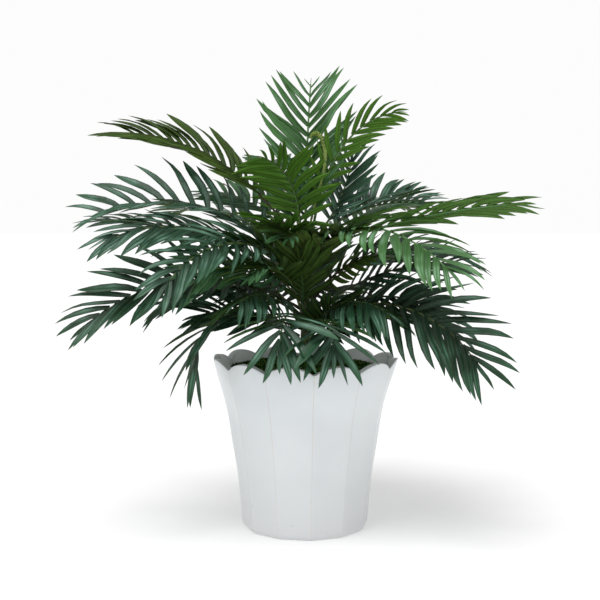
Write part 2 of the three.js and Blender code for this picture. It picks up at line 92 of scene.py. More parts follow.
def fill(tree, node, inputs):
    """Fills inputs: a node or a socket is linked, hex text is a colour, the rest is set as it is."""
    for key, value in inputs.items():
        if isinstance(value, bpy.types.Node):
            value = value.outputs[0]
        if isinstance(value, bpy.types.NodeSocket):
            tree.links.new(value, node.inputs[key])
        elif isinstance(value, str) and value.startswith("#"):
            node.inputs[key].default_value = linear(value)
        else:
            node.inputs[key].default_value = value


def add(tree, kind, *inputs, **settings):
    """Adds a node, sets its properties, and fills its inputs in their order, or by name from a dict."""
    made = tree.nodes.new(kind)
    for name, value in settings.items():
        setattr(made, name, value)
    for place, given in enumerate(inputs):
        fill(tree, made, given if isinstance(given, dict) else {place: given})
    return made


def new_material(name):
    """A material, its node tree, and the shader that the tree starts with."""
    material = bpy.data.materials.new(name)
    material.use_nodes = True
    return material, material.node_tree, material.node_tree.nodes["Principled BSDF"]


print("node helpers ready")

# %% [markdown]
# Meshes come from plain lists of points and faces. A node group is used through a modifier: its
# inputs are found by name here but set by their identifiers, and the finished form is then baked
# into a plain mesh.


# %% Meshes and node groups
def mesh_object(name, points, faces=(), edges=()):
    mesh = bpy.data.meshes.new(name)
    mesh.from_pydata([tuple(p) for p in points], list(edges), list(faces))
    made = bpy.data.objects.new(name, mesh)
    bpy.context.scene.collection.objects.link(made)
    return made


def new_group(name, sockets):
    """A geometry node group with one geometry in, one out, and the named inputs."""
    group = bpy.data.node_groups.new(name, "GeometryNodeTree")
    group.interface.new_socket("Geometry", in_out="INPUT", socket_type="NodeSocketGeometry")
    for socket, (kind, default) in sockets.items():
        made = group.interface.new_socket(socket, in_out="INPUT", socket_type="NodeSocket" + kind)
        if default is not None:
            made.default_value = default
    group.interface.new_socket("Geometry", in_out="OUTPUT", socket_type="NodeSocketGeometry")
    start = add(group, "NodeGroupInput")
    return group, start.outputs


def grow(carrier, group, sharp_angle=None, **values):
    """Runs a group on an object and returns the result as a plain object of the same name."""
    modifier = carrier.modifiers.new(group.name, "NODES")
    modifier.node_group = group
    for item in group.interface.items_tree:
        key = item.name.lower().replace(" ", "_")
        if item.in_out == "INPUT" and key in values:
            modifier[item.identifier] = values[key]
    name = carrier.name
    graph = bpy.context.evaluated_depsgraph_get()
    result = bpy.data.meshes.new_from_object(
        carrier.evaluated_get(graph), preserve_all_data_layers=True, depsgraph=graph)
    bpy.data.objects.remove(carrier)
    made = bpy.data.objects.new(name, result)
    bpy.context.scene.collection.objects.link(made)
    if sharp_angle:
        result.shade_smooth()
        result.set_sharp_from_angle(angle=math.radians(sharp_angle))
    print(name, len(result.polygons), "faces")
    return made


def note(piece, name, kind, values):
    """Writes one value a point on a mesh, for a node group to read."""
    layer = piece.data.attributes.new(name, kind, "POINT")
    if kind == "FLOAT_VECTOR":
        layer.data.foreach_set("vector", [part for value in values for part in value])
    else:
        layer.data.foreach_set("value", values)


def forget(piece, names):
    """Drops the attributes that only a node group needed."""
    for name in names:
        if name in piece.data.attributes:
            piece.data.attributes.remove(piece.data.attributes[name])


def instances(group, points, instance, **more):
    """Puts an object's geometry on each point, as real geometry."""
    form = add(group, "GeometryNodeObjectInfo", {"Object": instance})
    placed = add(group, "GeometryNodeInstanceOnPoints", {
        "Points": points, "Instance": form.outputs["Geometry"], **more})
    return add(group, "GeometryNodeRealizeInstances", {"Geometry": placed})


def ring(radius, height, count):
    """Points at equal steps round the axis."""
    turns = [math.tau * k / count for k in range(count)]
    return [(radius * math.cos(turn), radius * math.sin(turn), height) for turn in turns]


def dress(piece, slot, *nodes):
    """Ties a finished piece to the body and hides the solids it stands for. The slot is not used."""
    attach(piece, "root")
    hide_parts(*nodes)


# %% [markdown]
# ## Satin glaze
# The planter is cast in a light stone mix and sprayed with a white satin coat. Such a coat is a
# dielectric with an index of about 1.5 and a roughness near 0.4. It isn't quite even: it has a
# faint orange peel, the paint is a touch warmer where it gathers in the seams, and the foot has
# picked up a few grey rubs. Painted shade greys the coat towards the foot. The seams are found by
# their angle round the axis.


# %% Glaze material
LOBES = 12
FIRST_GROOVE = 5          # degrees from the front towards +X
PEEL_GRAIN = 2.5 * MM     # orange peel, drawn coarser than the real 1 mm so that it shows
RUB_SIZE = 9 * MM
RUBS_BELOW = 90 * MM
SHADE_BELOW = 190 * MM     # painted shade: the coat greys from here down to the foot
SEAM_FROM = 0.485         # where the warm line starts, 0 at a lobe's middle and 0.5 at its seam


def make_glaze():
    material, tree, shader = new_material("sprayed_satin_white")
    place = add(tree, COORDINATES).outputs["Object"]
    x, y, z = add(tree, SPLIT, place).outputs
    flipped = add(tree, MATH, y, -1.0, operation="MULTIPLY")
    angle = add(tree, MATH, x, flipped, operation="ARCTAN2")
    turns = add(tree, MATH, angle, LOBES / math.tau, operation="MULTIPLY")
    shift = add(tree, MATH, turns, LOBES * (1 - FIRST_GROOVE / 360), operation="ADD")
    share = add(tree, MATH, shift, operation="FRACT")
    off_middle = add(tree, MATH, share, 0.5, operation="SUBTRACT")
    seam = add(tree, MATH, off_middle, operation="ABSOLUTE")
    cloud = add(tree, NOISE, {"Vector": place, "Scale": 9.0, "Detail": 3.0})
    tone = add(tree, MAP_RANGE, cloud, 0.3, 0.7, 0.0, 1.0)
    coat = add(tree, MIX, {0: tone, 6: "#e3e8ea", 7: "#dadfe2"}, data_type="RGBA").outputs[2]
    # painted shade: towards the foot the coat is mixed towards a darker grey
    low_shade = add(tree, MAP_RANGE, z, 0.0, SHADE_BELOW, 0.8, 0.0)
    shaded_coat = add(tree, MIX, {0: low_shade, 6: coat, 7: "#cfd0d1"}, data_type="RGBA").outputs[2]
    line = add(tree, MAP_RANGE, seam, SEAM_FROM, 0.5, 0.0, 0.55)
    warm = add(tree, MIX, {0: line, 6: shaded_coat, 7: "#cfc4b8"}, data_type="RGBA").outputs[2]
    spots = add(tree, NOISE, {"Vector": place, "Scale": 1 / RUB_SIZE, "Detail": 2.0})
    rub = add(tree, MAP_RANGE, spots, 0.69, 0.76, 0.0, 0.5)
    low = add(tree, MAP_RANGE, z, 0.0, RUBS_BELOW, 1.0, 0.0)
    rubbed = add(tree, MATH, rub, low, operation="MULTIPLY")
    colour = add(tree, MIX, {0: rubbed, 6: warm, 7: "#9aa19f"}, data_type="RGBA").outputs[2]
    peel = add(tree, NOISE, {"Vector": place, "Scale": 1 / PEEL_GRAIN, "Detail": 2.0})
    bump = add(tree, BUMP, {"Height": peel, "Strength": 0.06, "Distance": 0.0004})
    rough = add(tree, MAP_RANGE, cloud, 0.3, 0.7, 0.34, 0.42)
    fill(tree, shader, {"IOR": 1.5, "Base Color": colour, "Roughness": rough, "Normal": bump})
    return material


GLAZE = make_glaze()
print("made", GLAZE.name)

# %% [markdown]
# ## The planter
# The planter is a turned form that was then carved into twelve lobes. Low down each lobe is flat
# between two seams. Towards the rim the seams deepen into grooves, which pull the rim down into
# notches. That is a rule, so a node group makes it: it lays a grid round the axis, looks up radius
# and height in a profile, and carves. The foot's edge is rounded by 9 mm and both edges of the rim
# by 1.6 mm, because those edges catch the light as thin bright lines.

# %% Planter sizes
RIM_HEIGHT = 258 * MM
RIM_SCALLOP = 12 * MM
SCALLOP_REACH = 5
GROOVE_SHARE = 0.03
FACET_SHARE = 0.03     # how far a lobe's middle draws in at the foot, where it is flat
WALL_AT_RIM = 11 * MM
WALL_BELOW = 8 * MM
FLOOR_THICKNESS = 10 * MM
FOOT_ROUND = 9 * MM
RIM_ROUND = 1.6 * MM
STEPS_PER_LOBE = 20
# Outside radius at the crest of a lobe, as (height, radius) in millimetres.
POT_CRESTS = [(8, 95.4), (39, 98), (85, 103), (127, 110), (177, 118), (212, 127), (233, 133.5), (258, 140)]


def crest_radius(height):
    """A smooth curve through the crests (Catmull-Rom)."""
    points = [(z * MM, r * MM) for z, r in POT_CRESTS]
    k = max(0, min(len(points) - 2, sum(z <= height for z, _ in points) - 1))
    (z0, r0), (z1, r1) = points[k], points[k + 1]
    before = points[k - 1] if k else (2 * z0 - z1, 2 * r0 - r1)
    after = points[k + 2] if k + 2 < len(points) else (2 * z1 - z0, 2 * r1 - r0)
    t = (height - z0) / (z1 - z0)
    slope0 = (r1 - before[1]) / (z1 - before[0]) * (z1 - z0)
    slope1 = (after[1] - r0) / (after[0] - z0) * (z1 - z0)
    return ((2 * t ** 3 - 3 * t ** 2 + 1) * r0 + (t ** 3 - 2 * t ** 2 + t) * slope0
            + (3 * t ** 2 - 2 * t ** 3) * r1 + (t ** 3 - t ** 2) * slope1)


def inside_radius(height):
    wall = WALL_BELOW + (WALL_AT_RIM - WALL_BELOW) * (height / RIM_HEIGHT) ** 3
    return crest_radius(height) - wall


def arc(centre, radius, start, end, steps=6):
    """Points of an arc in the profile's plane, angles in degrees from the level outward way."""
    angles = [math.radians(start + (end - start) * k / steps) for k in range(steps + 1)]
    return [(centre[0] + radius * math.cos(a), centre[1] + radius * math.sin(a)) for a in angles]


def pot_profile():
    foot = arc((crest_radius(FOOT_ROUND) - FOOT_ROUND, FOOT_ROUND), FOOT_ROUND, -90, 0)
    outer = [(crest_radius(h * MM), h * MM) for h in range(14, 254, 6)]
    top = RIM_HEIGHT - RIM_ROUND
    lip = arc((crest_radius(top) - RIM_ROUND, top), RIM_ROUND, -5, 90)
    bead = arc((inside_radius(top) + RIM_ROUND, top), RIM_ROUND, 90, 185)
    inner = [(inside_radius(h * MM), h * MM) for h in (248, 240, 230, 215, 190, 150, 100, 50, 16)]
    return [(0, 0), *foot, *outer, *lip, *bead, *inner, (inner[-1][0] - 4 * MM, FLOOR_THICKNESS),
            (0, FLOOR_THICKNESS)]


print("rim wall", round(WALL_AT_RIM / MM, 1), "mm, profile points", len(pot_profile()))


# %% The node group that turns and carves a profile
def lobed_lathe_group():
    group, given = new_group("lobed_lathe", {
        "Profile": ("Object", None), "Lobes": ("Int", LOBES), "Steps per lobe": ("Int", STEPS_PER_LOBE),
        "First groove": ("Float", math.radians(FIRST_GROOVE)), "Groove share": ("Float", GROOVE_SHARE),
        "Facet share": ("Float", FACET_SHARE), "Rim height": ("Float", RIM_HEIGHT),
        "Rim scallop": ("Float", RIM_SCALLOP), "Scallop reach": ("Float", SCALLOP_REACH),
        "Material": ("Material", None)})
    profile = add(group, "GeometryNodeObjectInfo", {"Object": given["Profile"]}).outputs["Geometry"]
    count = add(group, "GeometryNodeAttributeDomainSize", profile).outputs["Point Count"]
    segments = add(group, MATH, given["Lobes"], given["Steps per lobe"], operation="MULTIPLY")
    columns = add(group, MATH, segments, 1.0, operation="ADD")
    grid = add(group, "GeometryNodeMeshGrid", {
        "Size X": 1.0, "Size Y": 1.0, "Vertices X": columns, "Vertices Y": count})
    position = add(group, "GeometryNodeInputPosition")
    flat_x, flat_y, _ = add(group, SPLIT, position).outputs
    along = add(group, MATH, flat_x, 0.5, operation="ADD")
    angle = add(group, MATH, along, math.tau, operation="MULTIPLY")
    # each row of the grid looks up its own point of the profile
    last = add(group, MATH, count, 1.0, operation="SUBTRACT")
    upward = add(group, MATH, flat_y, 0.5, operation="ADD")
    step = add(group, MATH, upward, last, operation="MULTIPLY")
    index = add(group, MATH, step, operation="ROUND")
    looked_up = add(group, "GeometryNodeSampleIndex", {
        "Geometry": profile, "Value": position, "Index": index}, data_type="FLOAT_VECTOR")
    radius, _, height = add(group, SPLIT, looked_up).outputs
    # 0 at the middle of a lobe and 1 at the seams on both sides of it
    turned = add(group, MATH, angle, given["First groove"], operation="SUBTRACT")
    widths = add(group, MATH, turned, given["Lobes"], operation="MULTIPLY")
    pitches = add(group, MATH, widths, math.tau, operation="DIVIDE")
    share = add(group, MATH, pitches, 1.0, operation="FLOORED_MODULO")
    both = add(group, MATH, share, 2.0, -1.0, operation="MULTIPLY_ADD")
    groove = add(group, MATH, both, both, operation="MULTIPLY")
    # grooved at the rim, and flat between the seams lower down
    level = add(group, MATH, height, given["Rim height"], operation="DIVIDE")
    reach = add(group, MATH, level, given["Scallop reach"], operation="POWER")
    grooved = add(group, MATH, groove, given["Groove share"], operation="MULTIPLY")
    middle = add(group, MATH, 1.0, groove, operation="SUBTRACT")
    flattened = add(group, MATH, middle, given["Facet share"], operation="MULTIPLY")
    more = add(group, MATH, grooved, flattened, operation="SUBTRACT")
    depth = add(group, MATH, more, reach, flattened, operation="MULTIPLY_ADD")
    remaining = add(group, MATH, 1.0, depth, operation="SUBTRACT")
    drawn = add(group, MATH, radius, remaining, operation="MULTIPLY")
    notch = add(group, MATH, groove, given["Rim scallop"], operation="MULTIPLY")
    drop = add(group, MATH, reach, notch, operation="MULTIPLY")
    # round the axis, from the front towards +X
    sine = add(group, MATH, angle, operation="SINE")
    cosine = add(group, MATH, angle, operation="COSINE")
    forward = add(group, MATH, drawn, cosine, operation="MULTIPLY")
    place = add(group, "ShaderNodeCombineXYZ",
                add(group, MATH, drawn, sine, operation="MULTIPLY"),
                add(group, MATH, forward, -1.0, operation="MULTIPLY"),
                add(group, MATH, height, drop, operation="SUBTRACT"))
    form = add(group, MOVE, {"Geometry": grid, "Position": place})
    closed = add(group, "GeometryNodeMergeByDistance", {"Geometry": form, "Distance": 1e-5})
    painted = add(group, PAINT, {"Geometry": closed, "Material": given["Material"]})
    add(group, "NodeGroupOutput", painted)
    return group


LATHE = lobed_lathe_group()
print(LATHE.name, "group:", len(LATHE.nodes), "nodes")


# %% Make the planter
def turn_profile(name, profile, **values):
    line = mesh_object(name + "_profile", [(r, 0, z) for r, z in profile],
                       edges=[(k, k + 1) for k in range(len(profile) - 1)])
    piece = grow(mesh_object(name, []), LATHE, sharp_angle=35, profile=line, **values)
    bpy.data.objects.remove(line)
    return piece


planter = turn_profile("planter", pot_profile(), material=GLAZE)
dress(planter, "planter_glaze", "pot")

# %% [markdown]
# ## Moss
# Dried moss is glued over the foam: a low cushion of tiny branching shoots, yellow green where the
# tips stand up. Its dark inside is painted shade: the domed bed that gives the mass, and some of
# the tufts, take the dark moss_shade tone. Thousands of small tufts stand on the bed. Each tuft is
# nine narrow shoots, and a node group scatters them with a fixed seed.

# %% Moss material
MOSS_TONES = {"moss_shade": "#22381a", "moss_green": "#4a7a33", "moss_tip": "#8cae55"}
MOSS_GRAIN = 3 * MM


def make_moss(name, colour):
    material, tree, shader = new_material(name)
    place = add(tree, COORDINATES).outputs["Object"]
    speck = add(tree, NOISE, {"Vector": place, "Scale": 1 / MOSS_GRAIN, "Detail": 3.0})
    tone = add(tree, MAP_RANGE, speck, 0.35, 0.65, 0.55, 1.3)
    shade = add(tree, MIX, {0: 1.0, 6: colour, 7: tone}, data_type="RGBA", blend_type="MULTIPLY")
    fill(tree, shader, {"Base Color": shade.outputs[2], "Roughness": 0.9, "Specular IOR Level": 0.2})
    return material


MOSS = {name: make_moss(name, colour) for name, colour in MOSS_TONES.items()}
print("made", ", ".join(MOSS))

# %% Moss bed
FILL_EDGE_HEIGHT = 234 * MM
FILL_TOP_HEIGHT = 250 * MM
FILL_FLAT_RADIUS = 14 * MM
FILL_CLEARANCE = 0.5 * MM


def moss_surface(radius):
    """Height of the fill at a distance from the axis."""
    edge = inside_radius(FILL_EDGE_HEIGHT)
    share = min(max((radius - FILL_FLAT_RADIUS) / (edge - FILL_FLAT_RADIUS), 0), 1)
    return FILL_TOP_HEIGHT + (FILL_EDGE_HEIGHT - FILL_TOP_HEIGHT) * share ** 2


def moss_profile():
    base = FLOOR_THICKNESS + FILL_CLEARANCE
    wall = [(inside_radius(h * MM) - FILL_CLEARANCE, h * MM) for h in (50, 150, 215, 232)]
    edge = inside_radius(FILL_EDGE_HEIGHT) - FILL_CLEARANCE
    dome = [(edge * k / 30, moss_surface(edge * k / 30)) for k in range(30, -1, -1)]
    return [(0, base), (wall[0][0] - 4 * MM, base), *wall, *dome]


moss_bed = turn_profile("moss_bed", moss_profile(), rim_scallop=0.0, material=MOSS["moss_shade"])


# %% Tufts of moss
SHOOT_LEAN = (0.15, 1.0)
SHOOT_RISE = (0.5, 1.0)
SHOOT_FOOT = 0.15      # this and the next two are shares of the tuft's height
SHOOT_HALF_WIDTH = 0.11
SHOOT_ARCH = 0.12
SHOOT_MIDDLE = 0.55
SHOOT_SWELL = 1.3


def tuft_mesh(seed, shoots=9, height=5.5 * MM):
    """A spray of narrow shoots that lean outwards, widest just over the middle."""
    chance = random.Random(seed)
    points, faces = [], []
    for k in range(shoots):
        turn = math.tau * (k + chance.random()) / shoots
        lean = chance.uniform(*SHOOT_LEAN)
        out = Vector((math.cos(turn), math.sin(turn), 0))
        tip = out * height * lean + Vector((0, 0, height * chance.uniform(*SHOOT_RISE)))
        foot = out * height * SHOOT_FOOT
        across = Vector((-out.y, out.x, 0)) * height * SHOOT_HALF_WIDTH
        wide = across * SHOOT_SWELL
        bulge = foot.lerp(tip, SHOOT_MIDDLE) + Vector((0, 0, height * SHOOT_ARCH))
        first = len(points)
        points += [foot - across, foot + across, bulge - wide, bulge + wide, tip]
        faces += [(first, first + 1, first + 3, first + 2), (first + 2, first + 3, first + 4)]
    return points, faces


def moss_group():
    group, given = new_group("moss_tufts", {
        "Tuft": ("Object", None), "Density": ("Float", 1e5), "Least size": ("Float", 0.6),
        "Greatest size": ("Float", 1.2), "Seed": ("Int", 1), "Material": ("Material", None)})
    seed = given["Seed"]
    spots = add(group, "GeometryNodeDistributePointsOnFaces", {
        "Mesh": given["Geometry"], "Density": given["Density"], "Seed": seed})
    turn = add(group, RANDOM, {0: (0.0, 0.0, 0.0), 1: (0.5, 0.5, math.tau), "Seed": seed},
               data_type="FLOAT_VECTOR")
    scale = add(group, RANDOM, {2: given["Least size"], 3: given["Greatest size"], "Seed": seed},
                data_type="FLOAT")
    tufts = instances(group, spots.outputs["Points"], given["Tuft"],
                      Rotation=turn.outputs["Value"], Scale=scale.outputs[1])
    painted = add(group, PAINT, {"Geometry": tufts, "Material": given["Material"]})
    add(group, "NodeGroupOutput", painted)
    return group


MOSS_SCATTER = moss_group()
print(MOSS_SCATTER.name, "group:", len(MOSS_SCATTER.nodes), "nodes")
MOSS_MARGIN = 3 * MM
TUFT_SINK = 0.5 * MM
RING_STEP = 6 * MM
FIRST_RING = 16 * MM    # clear of the cane
TUFTS_A_SQUARE_METRE = {"moss_shade": 30000, "moss_green": 55000, "moss_tip": 22000}


def moss_disc(name):
    """The dome that tufts grow from, kept off the planter's wall and the cane."""
    rings = [FIRST_RING + k * RING_STEP for k in range(17)]
    limit = inside_radius(FILL_EDGE_HEIGHT) * (1 - GROOVE_SHARE) - MOSS_MARGIN
    rings = [r for r in rings if r < limit] + [limit]
    points, faces, around = [], [], 48
    for r in rings:
        points += ring(r, moss_surface(r) - TUFT_SINK, around)
    for first in range(0, (len(rings) - 1) * around, around):
        for k in range(around):
            a, b = first + k, first + (k + 1) % around
            faces.append((a, a + around, b + around, b))
    return mesh_object(name, points, faces)


dress(moss_bed, "moss", "moss_fill")
for number, (tone, density) in enumerate(TUFTS_A_SQUARE_METRE.items()):
    tuft = mesh_object("tuft", *tuft_mesh(number))
    tufts = grow(moss_disc(tone + "_tufts"), MOSS_SCATTER, tuft=tuft, density=float(density),
                 seed=10 + number, material=MOSS[tone])
    bpy.data.objects.remove(tuft)
    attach(tufts, "root")

# %% [markdown]
# ## The cane
# The stem is moulded in one piece after a real cane: green brown, with a slight swelling round each
# joint, a ring scar on it, and fine upright fibres between. It tapers from 8 to 4.5 mm in radius.
# It is turned from its rule in code, because joints and fibres are functions of height and angle.

# %% Cane material
FIBRE = 1.4 * MM


def make_moulded(name, colour, dark, stretch=0.12):
    """Moulded polyethylene with fine lengthwise fibres along Z."""
    material, tree, shader = new_material(name)
    place = add(tree, COORDINATES).outputs["Object"]
    drawn = add(tree, "ShaderNodeMapping", {"Vector": place, "Scale": (1.0, 1.0, stretch)})
    fibre = add(tree, NOISE, {"Vector": drawn, "Scale": 1 / FIBRE, "Detail": 3.0})
    tone = add(tree, MAP_RANGE, fibre, 0.35, 0.65, 0.0, 1.0)
    mixed = add(tree, MIX, {0: tone, 6: dark, 7: colour}, data_type="RGBA").outputs[2]
    bump = add(tree, BUMP, {"Height": fibre, "Strength": 0.4, "Distance": 0.0005})
    fill(tree, shader, {"Base Color": mixed, "Roughness": 0.5, "Normal": bump})
    return material


CANE_PLASTIC = make_moulded("moulded_cane", "#5d6a33", "#3a3f20")
print("made", CANE_PLASTIC.name)

# %% Cane
CANE_FOOT = 250.3 * MM
CANE_TOP = 436 * MM
CANE_FOOT_RADIUS = 8 * MM
CANE_TOP_RADIUS = 4.5 * MM
CANE_JOINTS = 7
CANE_JOINT_SWELL = 0.7 * MM
SWELL_REACH = 0.12     # up and down from a joint, as a share of the way to the next
SCAR_DEPTH = 0.45 * MM
SCAR_PLACE = 0.03      # just over the joint
SCAR_REACH = 0.02
FIBRE_DEPTH = 0.12 * MM
FIBRE_COUNT = 9
FIBRE_WAVE = 9 * MM
JOIN_GAP = 0.3 * MM


def cane_radius(height):
    share = (height - CANE_FOOT) / (CANE_TOP - CANE_FOOT)
    return CANE_FOOT_RADIUS + (CANE_TOP_RADIUS - CANE_FOOT_RADIUS) * share


def cane_relief(height, turn):
    """A swelling round each joint, a ring scar on it, and shallow fibres all along."""
    beat = (height - CANE_FOOT) / (CANE_TOP - CANE_FOOT) * CANE_JOINTS % 1
    swell = CANE_JOINT_SWELL * math.exp(-((min(beat, 1 - beat) / SWELL_REACH) ** 2))
    scar = -SCAR_DEPTH * math.exp(-((beat - SCAR_PLACE) / SCAR_REACH) ** 2)
    fibre = FIBRE_DEPTH * math.sin(FIBRE_COUNT * turn + 2 * math.sin(height / FIBRE_WAVE))
    return swell + scar + fibre


def make_cane():
    around, steps = 36, 150
    points, faces = [], []
    for step in range(steps + 1):
        height = CANE_FOOT + (CANE_TOP - CANE_FOOT) * step / steps
        for k in range(around):
            turn = math.tau * k / around
            r = cane_radius(height) + cane_relief(height, turn)
            points.append((r * math.cos(turn), r * math.sin(turn), height))
    for step in range(steps):
        for k in range(around):
            a, b = step * around + k, step * around + (k + 1) % around
            faces.append((a, b, b + around, a + around))
    faces.append(tuple(range(around))[::-1])
    faces.append(tuple(range(steps * around, (steps + 1) * around)))
    made = mesh_object("cane_stem", points, faces)
    made.data.materials.append(CANE_PLASTIC)
    made.data.shade_smooth()
    made.data.set_sharp_from_angle(angle=math.radians(60))
    return made


cane = make_cane()
dress(cane, "cane", "cane")
print("cane", round((CANE_TOP - CANE_FOOT) / MM), "mm tall")

# %% [markdown]
# ## Leaf fabric
# The leaflets are woven polyester, printed green and coated so that they hold the pressed fold.
# The coat gives the eye a soft grey sheen on dark green. The colour is darker towards the rib and
# lighter towards some tips, partly print and partly painted highlight; a painted highlight runs as a
# pale streak along the crown of each half, the pressed veins run lengthwise about 1.3 mm apart, and
# the cut edge shows as a thin line. The underside is a duller, yellower green, lighter than the top:
# partly its own colour and partly painted light shining through the fabric. Its midrib stands out.
# The pattern follows the leaflet's UV map: U runs from root to tip, and V across.

# %% Leaf materials
VEIN_GAP = 1.3 * MM
LEAF_HALF_WIDTH = 7 * MM
VEINS = 2 * LEAF_HALF_WIDTH / VEIN_GAP
CLOUD_SIZE = 45 * MM
# The painted highlight streak: its patch size, its place across and along, and its strength.
HIGHLIGHT_PATCH_SIZE = 38 * MM
HIGHLIGHT_PLACE = 0.2     # from the midrib, in widths
HIGHLIGHT_MIDDLE = 0.55   # from root to tip
HIGHLIGHT_STRENGTH = 0.62


def make_leaf_fabric(name, base, tip, midrib, edge, highlight_colour, specular, roughness=0.4, rib_width=0.05,
                     sheen=0.04):
    material, tree, shader = new_material(name)
    u, v, _ = add(tree, SPLIT, add(tree, "ShaderNodeUVMap", uv_map="leaflet")).outputs
    place = add(tree, COORDINATES).outputs["Object"]
    cloud = add(tree, NOISE, {"Vector": place, "Scale": 1 / CLOUD_SIZE, "Detail": 2.0})
    # root to tip: darker at the root and lighter towards the tip, partly print and partly painted highlight
    fade = add(tree, MAP_RANGE, u, 0.25, 1.0, 0.0, 1.0)
    clouded = add(tree, MATH, fade, cloud, operation="MULTIPLY")
    body = add(tree, MIX, {0: clouded, 6: base, 7: tip}, data_type="RGBA").outputs[2]
    across = add(tree, MATH, v, 0.5, operation="SUBTRACT")
    off_rib = add(tree, MATH, across, operation="ABSOLUTE")
    # painted highlight: a pale streak along the crown of each half, broken up by a cloud
    patches = add(tree, NOISE, {"Vector": place, "Scale": 1 / HIGHLIGHT_PATCH_SIZE, "Detail": 1.0})
    broken = add(tree, MAP_RANGE, patches, 0.4, 0.62, 0.0, HIGHLIGHT_STRENGTH)
    from_crown = add(tree, MATH, off_rib, HIGHLIGHT_PLACE, operation="SUBTRACT")
    off_crown = add(tree, MATH, from_crown, operation="ABSOLUTE")
    from_middle = add(tree, MATH, u, HIGHLIGHT_MIDDLE, operation="SUBTRACT")
    off_middle = add(tree, MATH, from_middle, operation="ABSOLUTE")
    on_crown = add(tree, MAP_RANGE, off_crown, 0.03, 0.2, 1.0, 0.0)
    on_middle = add(tree, MAP_RANGE, off_middle, 0.1, 0.42, 1.0, 0.0)
    placed = add(tree, MATH, on_crown, on_middle, operation="MULTIPLY")
    painted_highlight = add(tree, MATH, placed, broken, operation="MULTIPLY")
    highlighted = add(tree, MIX, {0: painted_highlight, 6: body, 7: highlight_colour}, data_type="RGBA").outputs[2]
    # the midrib, the cut edge and the pressed veins
    on_rib = add(tree, MAP_RANGE, off_rib, rib_width * 0.4, rib_width, 0.8, 0.0)
    ribbed = add(tree, MIX, {0: on_rib, 6: highlighted, 7: midrib}, data_type="RGBA").outputs[2]
    on_edge = add(tree, MAP_RANGE, off_rib, 0.5 - 1.1 * rib_width, 0.5, 0.0, 0.75)
    colour = add(tree, MIX, {0: on_edge, 6: ribbed, 7: edge}, data_type="RGBA").outputs[2]
    waves = add(tree, MATH, v, VEINS * math.tau, operation="MULTIPLY")
    vein = add(tree, MATH, waves, operation="SINE")
    bump = add(tree, BUMP, {"Height": vein, "Strength": 0.35, "Distance": 0.0002})
    rough = add(tree, MAP_RANGE, cloud, 0.3, 0.7, roughness - 0.06, roughness + 0.08)
    fill(tree, shader, {
        "Base Color": colour, "Roughness": rough, "Normal": bump, "Specular IOR Level": specular,
        "Sheen Weight": sheen, "Sheen Roughness": 0.4, "Sheen Tint": "#b9d3c6"})
    return material


# Each tint: top from root to tip, its edge and its painted highlight streak, underside from root to
# tip, the underside's midrib, and how strongly the top shines.
# The light tint of the crown is partly its own paler green and partly painted light on the lit crown; the
# deep tint of the low and inner fronds is partly their own dark green and partly painted shade.
TINTS = {
    "light": ("#35602c", "#5c9052", "#4a5a34", "#93be9a", "#466e28", "#5b8540", "#3b2f1a", 0.4),
    "bright": ("#335e1a", "#5a8a36", "#3a2f1a", "#7eaa66", "#43701c", "#578628", "#3a2c18", 0.35),
    "olive": ("#2b420f", "#45621c", "#3c2016", "#5b7436", "#3e5620", "#54722a", "#33211a", 0.15),
    "mid": ("#1f4520", "#40753f", "#39421f", "#6e9c78", "#2c4816", "#3f6224", "#5f6b2a", 0.42),
    "teal": ("#1b3c27", "#3f6f4e", "#25352a", "#82ae98", "#26481e", "#3c6034", "#6b7a2f", 0.45),
    "deep": ("#122c19", "#2b5937", "#37441e", "#64957a", "#1b3514", "#2c4e1e", "#66742e", 0.4),
}
LEAF_FABRIC = {}
for tint, (root, tip, edge, painted_highlight, under_root, under_tip, under_rib, shine) in TINTS.items():
    LEAF_FABRIC[tint] = (
        make_leaf_fabric("printed_leaf_" + tint, root, tip, tip, edge, painted_highlight, shine),
        # the underside's lighter yellow green is partly its own colour and partly painted light shining
        # through
        make_leaf_fabric("leaf_back_" + tint, under_root, under_tip, under_rib, "#2e1f18", under_tip,
                         0.2, 0.6, 0.07, 0.02))
print("made", 2 * len(LEAF_FABRIC), "leaf fabrics")

# %% [markdown]
# ## How a frond grows
# Each frond is one row: where its rib leaves the cane, which way it heads, how steeply it rises at
# its foot and dips at its tip, how long it is, and how its leaflets stand. The rib's slope changes
# smoothly from foot to tip, and short steps along it are summed. Leaflets leave the rib at an angle
# that closes towards the tip, they are longest in the middle, and gravity bends their tips down.
# A few fronds have some more leaflets here than in the solids, and each leaflet has a little chance
# in its angle, length and droop.

# %% Frond table
COLUMNS = ("name", "foot", "heading", "rise", "dip", "length", "leaf", "pairs", "tint")
DEFAULTS = {"bare": 0.3, "roll": 0, "vee": 12, "bend": 1.4, "spread": 60, "close": 28, "sag": 0.12,
            "sweep": 0.25, "wide": 0.125, "taper": 0, "finer": 1}


def row(*values, **own):
    """One frond. What its row doesn't say is as in DEFAULTS."""
    made = {**DEFAULTS, **dict(zip(COLUMNS, values)), **own}
    for size in ("foot", "length", "leaf"):
        made[size] *= MM
    return made


